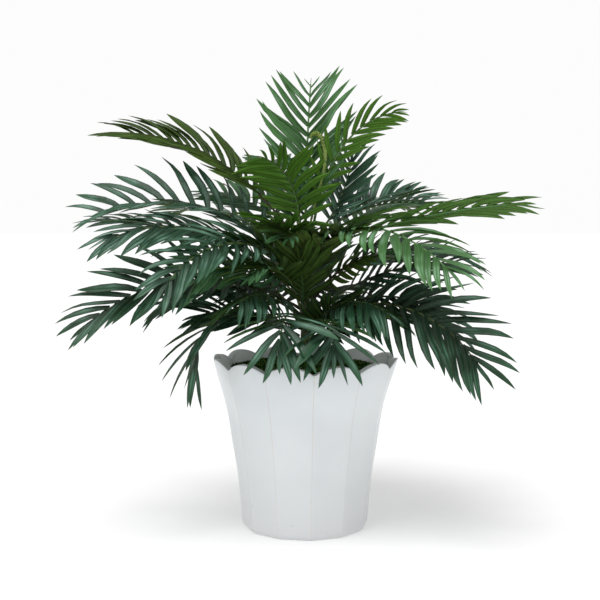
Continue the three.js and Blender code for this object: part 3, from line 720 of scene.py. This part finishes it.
# Name, foot height, heading (0 is +X, 90 is +Y), rise at foot and at tip, rib length, longest
# leaflet, pairs of leaflets, tint, and what differs. Millimetres and degrees.
FRONDS = [
    row("crown_spear", 437, 75, 88, 74, 232, 112, 13, "light",
        bare=0.12, spread=50, close=42, sag=0, sweep=0.08, wide=0.09, taper=0.78, finer=1.1),
    row("crown_front", 428, 218, 88, 14, 150, 88, 11, "bright",
        bare=0.15, roll=-25, vee=0, bend=1.8, spread=74, close=38, sag=0.24, sweep=0.1, wide=0.12,
        taper=0.3, finer=1.05),
    row("crown_right", 430, -14, 80, 6, 246, 66, 11, "bright",
        roll=46, vee=10, bend=2, spread=58, close=21, sag=0.28, wide=0.14, taper=0.45),
    row("upper_left", 420, 172, 60, 4, 326, 105, 13, "olive",
        roll=26, vee=14, bend=1.1, spread=56, close=32, sweep=0.6, finer=1.2),
    row("upper_front", 423, -46, 35, -38, 282, 104, 14, "light",
        bare=0.14, roll=-16, bend=0.8, spread=80, close=40, sag=0.24, wide=0.135, taper=0.15),
    row("upper_right", 414, -14, 21, 4, 300, 92, 10, "light",
        bare=0.35, roll=34, vee=16, bend=1.3, spread=27, close=18),
    row("middle_left", 396, 188, 49, -21, 320, 102, 12, "teal",
        bare=0.25, roll=27, vee=30, bend=1, spread=78, close=40, sag=0.1, sweep=0.15, wide=0.13),
    row("middle_front_left", 384, 230, 30, -44, 296, 92, 12, "teal", bare=0.25, roll=36, wide=0.14),
    row("middle_left_front", 380, 206, 34, -20, 306, 90, 11, "teal",
        roll=34, vee=4, spread=50, close=22, sag=0.2, wide=0.14),
    row("low_left_long", 330, 198, 32, -38, 325, 106, 15, "deep",
        bare=0.25, roll=38, vee=20, bend=1.1, spread=84, close=22, sag=0.08, sweep=0.12, wide=0.122),
    row("low_right_long", 300, -34, 39, -51, 300, 110, 13, "deep",
        bare=0.25, roll=-50, vee=0, bend=1, spread=63, sag=0.1, sweep=0.05, wide=0.12),
    row("low_left_hanging", 300, 216, 20, -98, 224, 104, 7, "deep",
        bare=0.46, roll=-8, vee=8, bend=2.4, spread=62, close=24, sag=0.18),
    row("rim_front_left", 302, 257, 22, -84, 168, 96, 6, "teal",
        bare=0.62, vee=-4, bend=3, spread=94, close=20, sag=0.1, sweep=0, wide=0.165),
    row("rim_front_right", 290, -76, 24, -84, 168, 92, 6, "teal",
        bare=0.62, vee=-4, bend=3, spread=94, close=20, sag=0.1, sweep=0, wide=0.165),
    row("low_left_upright", 311, 210, 54, -32, 200, 88, 10, "mid",
        roll=40, vee=14, bend=1.7, spread=66, close=36),
    row("inner_left", 342, 218, 44, 20, 120, 66, 8, "mid", roll=46, vee=5, spread=68, close=45),
    row("inner_right", 336, -38, 50, 20, 125, 66, 8, "olive", roll=-50, vee=5, spread=68, close=40),
    row("middle_right", 324, -8, 36, -4, 228, 88, 12, "deep", roll=-30, wide=0.11),
    row("upper_right_back", 418, 20, 56, -8, 205, 78, 11, "teal",
        roll=-15, vee=38, bend=0.8, spread=74, close=42, wide=0.14, finer=1.2),
    row("upper_back_right", 424, 33, 44, 80, 150, 80, 9, "teal", bare=0.35, roll=-20, close=38, wide=0.12),
    row("upper_back_left", 424, 142, 40, 5, 190, 88, 9, "mid", bare=0.35, roll=20),
    row("middle_left_back", 378, 170, 29, 2, 318, 86, 11, "deep",
        bare=0.35, roll=15, bend=1, spread=56, wide=0.12),
    row("low_left_back", 320, 176, 35, -40, 225, 90, 11, "deep", roll=42),
    row("low_right_back", 305, 5, 35, -60, 250, 85, 11, "deep", roll=-48),
    row("upper_back", 404, 106, 62, 0, 270, 95, 12, "mid", bare=0.25),
    row("middle_back_right", 376, 50, 45, -10, 290, 95, 13, "mid", bare=0.25),
    row("middle_back_left", 366, 140, 45, -10, 300, 95, 13, "teal", bare=0.25),
    row("middle_back", 346, 95, 40, -35, 320, 105, 13, "mid", bare=0.25),
    row("middle_right_back", 346, 20, 38, -25, 275, 95, 12, "deep", roll=-15),
    row("low_back_left", 305, 118, 35, -35, 240, 95, 11, "deep", bare=0.25),
    row("low_back_right", 300, 70, 35, -35, 240, 95, 11, "deep", bare=0.25),
    row("heart_left", 340, 240, 48, -20, 150, 90, 9, "mid"),
    row("heart_right", 344, -30, 48, -10, 160, 90, 9, "mid"),
    row("inner_front_left", 318, 236, 34, -20, 165, 88, 10, "teal", vee=-22, spread=72, close=40, sag=0.25),
    row("inner_front_right", 314, -46, 30, -24, 160, 88, 10, "teal",
        vee=-22, spread=72, close=40, sag=0.25),
    row("inner_low_left", 288, 196, 34, -12, 150, 88, 10, "deep", roll=42),
    row("inner_low_right", 284, -6, 34, -12, 190, 88, 10, "deep", roll=-42),
    row("upper_front_left", 405, 244, 40, 10, 120, 85, 8, "bright"),
    row("low_front_left", 283, 222, 34, 30, 80, 92, 7, "deep",
        roll=38, vee=10, spread=72, close=34, sag=0.1),
    row("low_front_right", 279, -42, 32, 26, 80, 86, 7, "deep",
        roll=-38, vee=5, spread=72, close=34, sag=0.2),
    row("heart_back_left", 322, 122, 60, 20, 140, 90, 8, "mid"),
    row("heart_back_right", 326, 75, 60, 20, 140, 90, 8, "deep"),
    row("heart_front", 312, 262, 72, 40, 110, 84, 8, "mid"),
    row("heart_front_right", 352, 286, 66, 10, 118, 78, 8, "olive"),
    row("heart_front_low", 276, 302, 58, 20, 95, 84, 7, "deep"),
    row("heart_front_left", 392, 258, 50, -15, 125, 80, 8, "mid"),
    row("heart_upper_right", 384, -58, 50, 0, 130, 82, 8, "olive"),
    row("heart_upper_left", 366, 218, 52, 0, 130, 82, 8, "mid"),
]
print(len(FRONDS), "fronds")

# %% Rib
RIB_STEPS = 24
RIB_BASE_RADIUS = 2.4 * MM
RIB_TIP_RADIUS = 1.1 * MM


def direction(heading, rise):
    heading, rise = math.radians(heading), math.radians(rise)
    return Vector((math.cos(rise) * math.cos(heading), math.cos(rise) * math.sin(heading), math.sin(rise)))


def grow_rib(frond):
    on_top = frond["foot"] > CANE_TOP
    lean_in = RIB_BASE_RADIUS * math.sin(math.radians(frond["rise"]))
    offset = 0 if on_top else cane_radius(frond["foot"]) + CANE_JOINT_SWELL + JOIN_GAP + lean_in
    point = direction(frond["heading"], 0) * offset
    point.z = frond["foot"]
    slopes = [(step / RIB_STEPS) ** frond["bend"] for step in range(RIB_STEPS + 1)]
    ways = [direction(frond["heading"], frond["rise"] + (frond["dip"] - frond["rise"]) * s) for s in slopes]
    points = [point.copy()]
    for step in range(RIB_STEPS):
        point = point + (ways[step] + ways[step + 1]).normalized() * frond["length"] / RIB_STEPS
        points.append(point)
    return {**frond, "points": points, "ways": ways}


def between(values, share):
    step = min(int(share * RIB_STEPS), RIB_STEPS - 1)
    return values[step].lerp(values[step + 1], share * RIB_STEPS - step)


def blade_axes(frond, share):
    """Along the rib, to the blade's right, and out of its upper face."""
    along = between(frond["ways"], share).normalized()
    right = direction(frond["heading"] - 90, 0)
    up = right.cross(along)
    roll = math.radians(frond["roll"])
    side = right * math.cos(roll) + up * math.sin(roll)
    face = up * math.cos(roll) - right * math.sin(roll)
    return along, side, face


rib_lengths = [round(frond["length"] / MM) for frond in FRONDS]
print("ribs from", min(rib_lengths), "to", max(rib_lengths), "mm long")


# %% Leaflets
SEED = 7
LAST_LEAF = 0.985
END_LEAF = 0.45
TAPER_POWER = 8        # the taper is felt over the last leaflets only
LEAF_TWIST = 18
SHORT_LEAF = 0.62
LENGTH_ARC = (0.06, 0.94)
ANGLE_CHANCE = 5.5     # degrees
LENGTH_CHANCE = 0.09
DROOP_CHANCE = 0.11
STAGGER = 0.2          # left leaflets sit this share of a pitch further out than right ones


def leaf_length(frond, share):
    """Short at the foot, longest in the middle, and at the tip as much shorter as the row says."""
    arc_share = LENGTH_ARC[0] + (LENGTH_ARC[1] - LENGTH_ARC[0]) * share
    length = frond["leaf"] * (SHORT_LEAF + (1 - SHORT_LEAF) * math.sin(math.pi * arc_share))
    return length * (1 - frond["taper"] * share ** TAPER_POWER)


def axes_across(way, along, face, twist):
    flat = (along - way * along.dot(way)).normalized()
    above = (face - way * face.dot(way)).normalized()
    turn = math.radians(twist)
    return flat * math.cos(turn) + above * math.sin(turn), above * math.cos(turn) - flat * math.sin(turn)


def side_leaf(frond, share, hand, chance):
    place = frond["bare"] + (LAST_LEAF - frond["bare"]) * share
    along, side, face = blade_axes(frond, place)
    opening = frond["spread"] + (frond["close"] - frond["spread"]) * share
    opening = math.radians(opening + chance.uniform(-ANGLE_CHANCE, ANGLE_CHANCE))
    fold = math.radians(frond["vee"] + chance.uniform(-ANGLE_CHANCE, ANGLE_CHANCE))
    out = side * hand * math.cos(fold) + face * math.sin(fold)
    way = along * math.cos(opening) + out * math.sin(opening)
    ending = way + along * frond["sweep"]
    ending.z -= frond["sag"] + chance.uniform(-DROOP_CHANCE / 2, DROOP_CHANCE)
    across, up = axes_across(way, along, face, LEAF_TWIST)
    length = leaf_length(frond, share) * (1 + chance.uniform(-LENGTH_CHANCE, 0))
    return {"root": between(frond["points"], place), "way": way, "ending": ending.normalized(),
            "across": across, "up": up, "length": length, "wide": frond["wide"]}


def end_leaf(frond):
    along, side, face = blade_axes(frond, 1)
    ending = along.copy()
    ending.z -= frond["sag"] / 2
    length = frond["leaf"] * END_LEAF * (1 - frond["taper"])
    return {"root": frond["points"][-1], "way": along, "ending": ending.normalized(),
            "across": side, "up": face, "length": length, "wide": frond["wide"]}


# %% [markdown]
# A leaflet that would run into the planter or the moss is lifted a few degrees at a time, and
# shortened when that isn't enough, much as a hand would bend the wire so that the frond clears the
# rim.


# %% Keep leaflets clear of the planter
CLEAR = 2.5 * MM
LIFTS = (0, 12, 24, 36, 50)
SHORTER = (1, 0.8, 0.6, 0.42)


def leaf_point(leaf, u):
    bow = leaf["root"] + leaf["way"] * leaf["length"] / 2
    tip = leaf["root"] + leaf["ending"] * leaf["length"]
    return leaf["root"] * (1 - u) ** 2 + bow * 2 * u * (1 - u) + tip * u ** 2


def hits_planter(point):
    radius = math.hypot(point.x, point.y)
    if point.z > RIM_HEIGHT + CLEAR or point.z < 0:
        return False
    height = min(point.z, RIM_HEIGHT - MM)
    inner = inside_radius(height) * (1 - GROOVE_SHARE) - CLEAR
    outer = crest_radius(max(height, 8 * MM)) + CLEAR
    return inner < radius < outer or (radius <= inner and point.z < moss_surface(radius) + CLEAR)


def fitted(leaf):
    """The leaf, lifted or shortened until it clears the planter, or None."""
    for cut in SHORTER:
        for lift in LIFTS:
            turn = Quaternion(leaf["way"].cross(Vector((0, 0, 1))).normalized(), math.radians(lift))
            tried = {**leaf, "length": leaf["length"] * cut, "way": turn @ leaf["way"],
                     "ending": turn @ leaf["ending"]}
            if not any(hits_planter(leaf_point(tried, u / 10)) for u in range(1, 11)):
                return tried
    return None


def leaves_of(frond, chance):
    count = round(frond["pairs"] * frond["finer"])
    leaves = [end_leaf(frond)]
    for pair in range(count):
        for hand in (1, -1):
            share = (pair + (STAGGER if hand < 0 else 0)) / (count - 1 + STAGGER)
            leaves.append(side_leaf(frond, share, hand, chance))
    return [leaf for leaf in map(fitted, leaves) if leaf]


chance = random.Random(SEED)
FRONDS_GROWN = [grow_rib(frond) for frond in FRONDS]
for frond in FRONDS_GROWN:
    frond["leaves"] = leaves_of(frond, chance)
print(sum(len(frond["leaves"]) for frond in FRONDS_GROWN), "leaflets")

# %% [markdown]
# ## One leaflet, many times
# All leaflets are one blade in its own small coordinates: X runs from root to tip, Y to the edges
# and Z out of the upper face, with the half width as the unit across. The blade is folded along its
# midrib, each half is slightly rounded, and it ends in a long point. A node group puts one blade at
# each leaflet's root and bends it along that leaflet's own line. Chance gives each its own width and
# twist, because a row of equal leaflets looks stamped.

# %% Leaflet blade
# Half width along the blade, as (share of the length, share of the widest).
OUTLINE = [(0, 0.62), (0.08, 0.7), (0.22, 0.9), (0.42, 1), (0.62, 0.92), (0.79, 0.66), (0.92, 0.3), (1, 0)]
ACROSS = (-1, -0.5, 0, 0.5, 1)
FOLD = 0.4             # how far the edges rise over the midrib
CROWN = 0.13           # how far each half bulges
THICK = 0.055          # thickness under the midrib
SWAY = 0.045           # a leaflet's sidelong sway at a twist of one radian, in lengths
WIDTH_CHANCE = 0.12
TWIST_CHANCE = 35      # degrees
FULLER = 1.1           # a soft leaflet is a little wider than a solid one


def blade_mesh():
    """The blade, with its own coordinates and which faces are its underside noted on it."""
    points, faces, on_back = [], [], []
    stations = OUTLINE[:-1]
    for u, width in stations:
        for side in ACROSS:
            bulge = CROWN * (1 - (2 * abs(side) - 1) ** 2)
            points.append((u, side * width, (FOLD * abs(side) + bulge) * width))
        points.append((u, 0, -THICK))
    points.append((1, 0, 0))
    tip, around = len(points) - 1, len(ACROSS) + 1
    for low in range(0, len(stations) * around, around):
        for k in range(around):
            a, b = low + k, low + (k + 1) % around
            faces.append((a, b, tip) if low + around == tip else (a, b, b + around, a + around))
            on_back.append(k >= around - 2)
    faces.append(tuple(range(around))[::-1])
    on_back.append(True)
    made = mesh_object("blade", points, faces)
    note(made, "shape", "FLOAT_VECTOR", points)
    made.data.attributes.new("back", "BOOLEAN", "FACE").data.foreach_set("value", on_back)
    uv = made.data.uv_layers.new(name="leaflet")
    for loop in made.data.loops:
        x, y, _ = points[loop.vertex_index]
        width = max(1e-3, next(w for u, w in reversed(OUTLINE) if u <= x + 1e-6))
        uv.data[loop.index].uv = (x, 0.5 + 0.5 * max(-1, min(1, y / width)))
    print("blade", len(faces), "faces")
    return made


blade = blade_mesh()


# %% The node group that sets and bends the leaflets
LEAF_VECTORS = ("root", "way", "ending", "across", "up")
LEAF_SIZES = ("length", "wide")
# All that is noted on the leaflets' points and on the blade while the group works.
LEAF_NOTES = {**dict.fromkeys(LEAF_VECTORS + ("shape",), "FLOAT_VECTOR"),
              **dict.fromkeys(LEAF_SIZES + ("half", "twist"), "FLOAT"), "back": "BOOLEAN"}


def spread(group, middle, chance, seed):
    """A random value for each leaflet, as much under as over the middle."""
    low = add(group, MATH, middle, chance, operation="SUBTRACT")
    high = add(group, MATH, middle, chance, operation="ADD")
    return add(group, RANDOM, {2: low, 3: high, "Seed": seed}).outputs[1]


def leaflet_group():
    group, given = new_group("leaflets", {
        "Blade": ("Object", None), "Width chance": ("Float", WIDTH_CHANCE),
        "Twist chance": ("Float", math.radians(TWIST_CHANCE)), "Seed": ("Int", SEED),
        "Top": ("Material", None), "Underside": ("Material", None)})
    told = {name: add(group, ATTRIBUTE, {"Name": name}, data_type=kind) for name, kind in LEAF_NOTES.items()}
    length, twist, half = told["length"], told["twist"], told["half"]
    # each leaflet's own width and twist
    fuller = add(group, MATH, told["wide"], FULLER / 2, operation="MULTIPLY")
    own_width = spread(group, 1.0, given["Width chance"], given["Seed"])
    width = add(group, MATH, own_width, fuller, operation="MULTIPLY")
    own_half = add(group, MATH, width, length, operation="MULTIPLY")
    other_seed = add(group, MATH, given["Seed"], 1.0, operation="ADD")
    own_twist = spread(group, 0.0, given["Twist chance"], other_seed)
    with_half = add(group, STORE, {"Geometry": given["Geometry"], "Name": "half", "Value": own_half})
    with_both = add(group, STORE, {"Geometry": with_half, "Name": "twist", "Value": own_twist})
    real = instances(group, with_both, given["Blade"])
    # the leaflet's middle line: a curve that leaves the rib one way and ends another
    u, v, w = add(group, SPLIT, told["shape"]).outputs
    rest = add(group, MATH, 1.0, u, operation="SUBTRACT")
    bow = add(group, MATH, u, rest, operation="MULTIPLY")
    square = add(group, MATH, u, u, operation="MULTIPLY")
    before_tip = add(group, MATH, bow, length, operation="MULTIPLY")
    to_tip = add(group, MATH, square, length, operation="MULTIPLY")
    leaving = add(group, VECTOR_MATH, {0: told["way"], "Scale": before_tip}, operation="SCALE")
    arriving = add(group, VECTOR_MATH, {0: told["ending"], "Scale": to_tip}, operation="SCALE")
    started = add(group, VECTOR_MATH, told["root"], leaving, operation="ADD")
    line = add(group, VECTOR_MATH, started, arriving, operation="ADD")
    # its direction there, and the blade's own axes square to it
    early_part = add(group, MATH, u, -2.0, 1.0, operation="MULTIPLY_ADD")
    late_part = add(group, MATH, u, 2.0, operation="MULTIPLY")
    early = add(group, VECTOR_MATH, {0: told["way"], "Scale": early_part}, operation="SCALE")
    late = add(group, VECTOR_MATH, {0: told["ending"], "Scale": late_part}, operation="SCALE")
    onward = add(group, VECTOR_MATH, early, late, operation="ADD")
    tangent = add(group, VECTOR_MATH, onward, operation="NORMALIZE")
    axes = []
    for axis in (told["across"], told["up"]):
        share = add(group, VECTOR_MATH, axis, tangent, operation="DOT_PRODUCT").outputs["Value"]
        lean = add(group, VECTOR_MATH, {0: tangent, "Scale": share}, operation="SCALE")
        squared = add(group, VECTOR_MATH, axis, lean, operation="SUBTRACT")
        axes.append(add(group, VECTOR_MATH, squared, operation="NORMALIZE"))
    to_side = add(group, MATH, v, half, operation="MULTIPLY")
    to_face = add(group, MATH, w, half, operation="MULTIPLY")
    out = add(group, VECTOR_MATH, {0: axes[0], "Scale": to_side}, operation="SCALE")
    rise = add(group, VECTOR_MATH, {0: axes[1], "Scale": to_face}, operation="SCALE")
    flat = add(group, VECTOR_MATH, out, rise, operation="ADD")
    turn = add(group, MATH, twist, u, operation="MULTIPLY")
    twisted = add(group, "ShaderNodeVectorRotate", {"Vector": flat, "Axis": tangent, "Angle": turn},
                  rotation_type="AXIS_ANGLE")
    # a slight sway to the side and back, which grows with the leaflet's own twist
    phase = add(group, MATH, u, math.tau, operation="MULTIPLY")
    wave = add(group, MATH, phase, operation="SINE")
    swing = add(group, MATH, wave, twist, operation="MULTIPLY")
    widest = add(group, MATH, length, SWAY, operation="MULTIPLY")
    aside = add(group, MATH, swing, widest, operation="MULTIPLY")
    sway = add(group, VECTOR_MATH, {0: axes[0], "Scale": aside}, operation="SCALE")
    swayed = add(group, VECTOR_MATH, line, sway, operation="ADD")
    place = add(group, VECTOR_MATH, swayed, twisted, operation="ADD")
    bent = add(group, MOVE, {"Geometry": real, "Position": place})
    top = add(group, PAINT, {"Geometry": bent, "Material": given["Top"]})
    both = add(group, PAINT, {"Geometry": top, "Selection": told["back"], "Material": given["Underside"]})
    add(group, "NodeGroupOutput", both)
    return group


LEAFLETS = leaflet_group()
print(LEAFLETS.name, "group:", len(LEAFLETS.nodes), "nodes")


# %% Make the leaflets, one piece for each tint
def leaf_points(name, leaves):
    """One point a leaflet, which carries all that the node group wants to know of it."""
    made = mesh_object(name, [leaf["root"] for leaf in leaves])
    for key in LEAF_VECTORS:
        note(made, key, "FLOAT_VECTOR", [leaf[key] for leaf in leaves])
    for key in LEAF_SIZES:
        note(made, key, "FLOAT", [leaf[key] for leaf in leaves])
    return made


def by_tint():
    """Each tint, its fronds, and the names of their solids."""
    for tint in TINTS:
        fronds = [frond for frond in FRONDS_GROWN if frond["tint"] == tint]
        yield tint, fronds, ["frond_" + frond["name"] for frond in fronds]


for tint, fronds, solids in by_tint():
    carrier = leaf_points("leaflets_" + tint, [leaf for frond in fronds for leaf in frond["leaves"]])
    top, underside = LEAF_FABRIC[tint]
    leaflets = grow(carrier, LEAFLETS, sharp_angle=50, blade=blade, top=top, underside=underside)
    forget(leaflets, LEAF_NOTES)
    dress(leaflets, "leaf", *solids)
bpy.data.objects.remove(blade)

# %% [markdown]
# ## Ribs
# The rib is a moulded strip, a little wider than it is deep, with a fabric cover on its upper half.
# It tapers from 4.8 to 2.2 mm. A node group sweeps a section along each rib's line. The section's
# upper half takes the leaf's own green, and its lower half the brown or yellow green of the wire
# rib, which is what shows on fronds that are seen from below.

# %% Rib materials
RIB_TONES = {
    "light": ("#64904e", "#45703c"), "bright": ("#3f2f1b", "#261c12"), "olive": ("#42301f", "#281c12"),
    "mid": ("#66702f", "#3c4420"), "teal": ("#56703c", "#3a4c2a"), "deep": ("#4f5a2a", "#2c351c")}
RIB_STRETCH = 0.3      # the fibres of a thin rib are drawn less than the cane's
RIB_PLASTIC = {tint: make_moulded("moulded_rib_" + tint, *tones, stretch=RIB_STRETCH)
               for tint, tones in RIB_TONES.items()}
RIB_COVER = {tint: make_moulded("rib_cover_" + tint, tones[1], tones[0], stretch=RIB_STRETCH)
             for tint, tones in TINTS.items()}
print("made", 2 * len(RIB_PLASTIC), "rib materials")


# %% The node group that sweeps the ribs
RIB_SIDES = 8
RIB_FLATNESS = 0.75


def rib_group():
    group, given = new_group("ribs", {
        "Sides": ("Int", RIB_SIDES), "Flatness": ("Float", RIB_FLATNESS), "Plastic": ("Material", None),
        "Cover": ("Material", None)})
    line = add(group, "GeometryNodeMeshToCurve", given["Geometry"])
    face = add(group, ATTRIBUTE, {"Name": "face"}, data_type="FLOAT_VECTOR")
    turned = add(group, "GeometryNodeSetCurveNormal", {"Curve": line, "Normal": face}, mode="FREE")
    circle = add(group, "GeometryNodeCurvePrimitiveCircle", {"Resolution": given["Sides"], "Radius": 1.0})
    squash = add(group, "ShaderNodeCombineXYZ", given["Flatness"], 1.0, 1.0)
    section = add(group, "GeometryNodeTransform", {"Geometry": circle, "Scale": squash})
    x, _, _ = add(group, SPLIT, add(group, "GeometryNodeInputPosition")).outputs
    upper = add(group, "FunctionNodeCompare", x, -0.01, operation="LESS_THAN", data_type="FLOAT")
    marked = add(group, STORE, {"Geometry": section, "Name": "cover", "Value": upper}, data_type="BOOLEAN")
    girth = add(group, ATTRIBUTE, {"Name": "girth"}, data_type="FLOAT")
    swept = add(group, "GeometryNodeCurveToMesh", {
        "Curve": turned, "Profile Curve": marked, "Scale": girth, "Fill Caps": True})
    plain = add(group, PAINT, {"Geometry": swept, "Material": given["Plastic"]})
    cover = add(group, ATTRIBUTE, {"Name": "cover"}, data_type="BOOLEAN")
    covered = add(group, PAINT, {"Geometry": plain, "Selection": cover, "Material": given["Cover"]})
    add(group, "NodeGroupOutput", covered)
    return group


RIBS = rib_group()
print(RIBS.name, "group:", len(RIBS.nodes), "nodes")
SHEATH_REACH = 14 * MM   # the clasping foot of the rib
SHEATH_SWELL = 0.35


def rib_lines(name, fronds):
    points, edges, girths, faces = [], [], [], []
    for frond in fronds:
        first = len(points)
        for step, point in enumerate(frond["points"]):
            share = step / RIB_STEPS
            swell = 1 + SHEATH_SWELL * math.exp(-((share * frond["length"] / SHEATH_REACH) ** 2))
            points.append(point)
            girths.append((RIB_BASE_RADIUS + (RIB_TIP_RADIUS - RIB_BASE_RADIUS) * share) * swell)
            faces.append(blade_axes(frond, min(share, 0.999))[2])
        edges += [(first + k, first + k + 1) for k in range(RIB_STEPS)]
    return mesh_object(name, points, edges=edges), girths, faces


def sweep_ribs(carrier, girths, faces, sharp_angle, plastic, cover):
    note(carrier, "girth", "FLOAT", girths)
    note(carrier, "face", "FLOAT_VECTOR", faces)
    made = grow(carrier, RIBS, sharp_angle=sharp_angle, plastic=plastic, cover=cover)
    forget(made, ("girth", "face", "cover"))
    return made


for tint, fronds, solids in by_tint():
    ribs = sweep_ribs(*rib_lines("ribs_" + tint, fronds), 70, RIB_PLASTIC[tint], RIB_COVER[tint])
    dress(ribs, "leaf", *solids)

# %% [markdown]
# ## Furled young leaf
# A palm always has one leaf that hasn't opened: here a crimped yellow-green spindle beside the crown
# spear, whose tip hooks over. It is one more swept line, with a girth that swells and ripples.

# %% Furled young leaf
YOUNG_LINE = [(4, -7, 446), (16, -11, 490), (27, -15, 535), (29, -16, 562), (25, -16, 580), (17, -16, 589),
              (10, -16, 587), (8, -16, 581)]
YOUNG_GIRTH = [1.6, 1.7, 2.2, 3.0, 3.8, 3.7, 2.9, 1.2]
YOUNG_STEPS = 8          # rings between two of the points
CRIMP = 0.16             # depth of the crimps, as a share of the girth


def smooth_between(values, share):
    """A smooth curve through evenly spaced values, at a share of the way from first to last."""
    place = share * (len(values) - 1)
    first = min(int(place), len(values) - 2)
    t = place - first
    before, a, b, after = (values[min(max(first + k, 0), len(values) - 1)] for k in (-1, 0, 1, 2))
    return 0.5 * (2 * a + (b - before) * t + (2 * before - 5 * a + 4 * b - after) * t ** 2
                  + (3 * a - before - 3 * b + after) * t ** 3)


def young_leaf_line():
    count = YOUNG_STEPS * (len(YOUNG_LINE) - 1)
    shares = [step / count for step in range(count + 1)]
    line = [Vector(point) * MM for point in YOUNG_LINE]
    made = mesh_object("furled_leaf", [smooth_between(line, share) for share in shares],
                       edges=[(k, k + 1) for k in range(count)])
    girths = [smooth_between(YOUNG_GIRTH, share) * MM * (1 + CRIMP * (-1) ** step)
              for step, share in enumerate(shares)]
    return made, girths, [(0.0, -1.0, 0.0)] * (count + 1)


furled = make_moulded("furled_leaf_fabric", "#8fa048", "#4c6a28", stretch=RIB_STRETCH)
dress(sweep_ribs(*young_leaf_line(), 40, furled, furled), "leaf", "frond_crown_spear")

# %% [markdown]
# ## Light and floor
# A plain studio: an opal table that glows a little from below, which keeps the shadow pale, a wide
# diffuser overhead and a little in front, and papered walls, pale at eye level and dimmer above.

# %% Floor
FLOOR_RADIUS = 30.0
TABLE_GLOW = 0.32


def make_floor():
    points = ring(FLOOR_RADIUS, 0, 64)
    made = mesh_object("floor", points, [tuple(range(len(points)))])
    material, tree, shader = new_material("opal_light_table")
    fill(tree, shader, {"Base Color": "#dadada", "Roughness": 0.9, "Emission Color": "#ffffff",
                        "Emission Strength": TABLE_GLOW})
    made.data.materials.append(material)
    return made


floor = make_floor()


# %% Lights
SURROUND_BAND = (0.2, 0.6)      # sine of the elevation where the pale band starts to fade, and ends
SURROUND_AT_EYE = 0.98
SURROUND_ABOVE = 0.36
CEILING_WIDTH = 36              # degrees of sky that the overhead diffuser fills
CEILING_PLACE = Vector((-0.35, -0.6, 1.7))
CEILING_STRENGTH = 2.1


def make_ceiling():
    """A wide ceiling diffuser: as even over the floor as a sun, with shadows as soft as cloud."""
    light = bpy.data.lights.new("ceiling_diffuser", "SUN")
    light.angle = math.radians(CEILING_WIDTH)
    light.energy = CEILING_STRENGTH
    made = bpy.data.objects.new("ceiling_diffuser", light)
    made.rotation_euler = (-CEILING_PLACE).to_track_quat("-Z", "Y").to_euler()
    bpy.context.scene.collection.objects.link(made)


def make_surround():
    """Pale all round at eye level and dimmer towards the zenith, as a papered studio is."""
    world = bpy.data.worlds.new("papered_studio")
    world.use_nodes = True
    tree = world.node_tree
    _, _, height = add(tree, SPLIT, add(tree, COORDINATES).outputs["Generated"]).outputs
    off_level = add(tree, MATH, height, operation="ABSOLUTE")
    tone = add(tree, MAP_RANGE, off_level, *SURROUND_BAND, SURROUND_AT_EYE, SURROUND_ABOVE)
    fill(tree, tree.nodes["Background"], {"Color": "#ffffff", "Strength": tone})
    return world


make_ceiling()
bpy.context.scene.world = make_surround()
bpy.context.scene.view_settings.view_transform = "Standard"
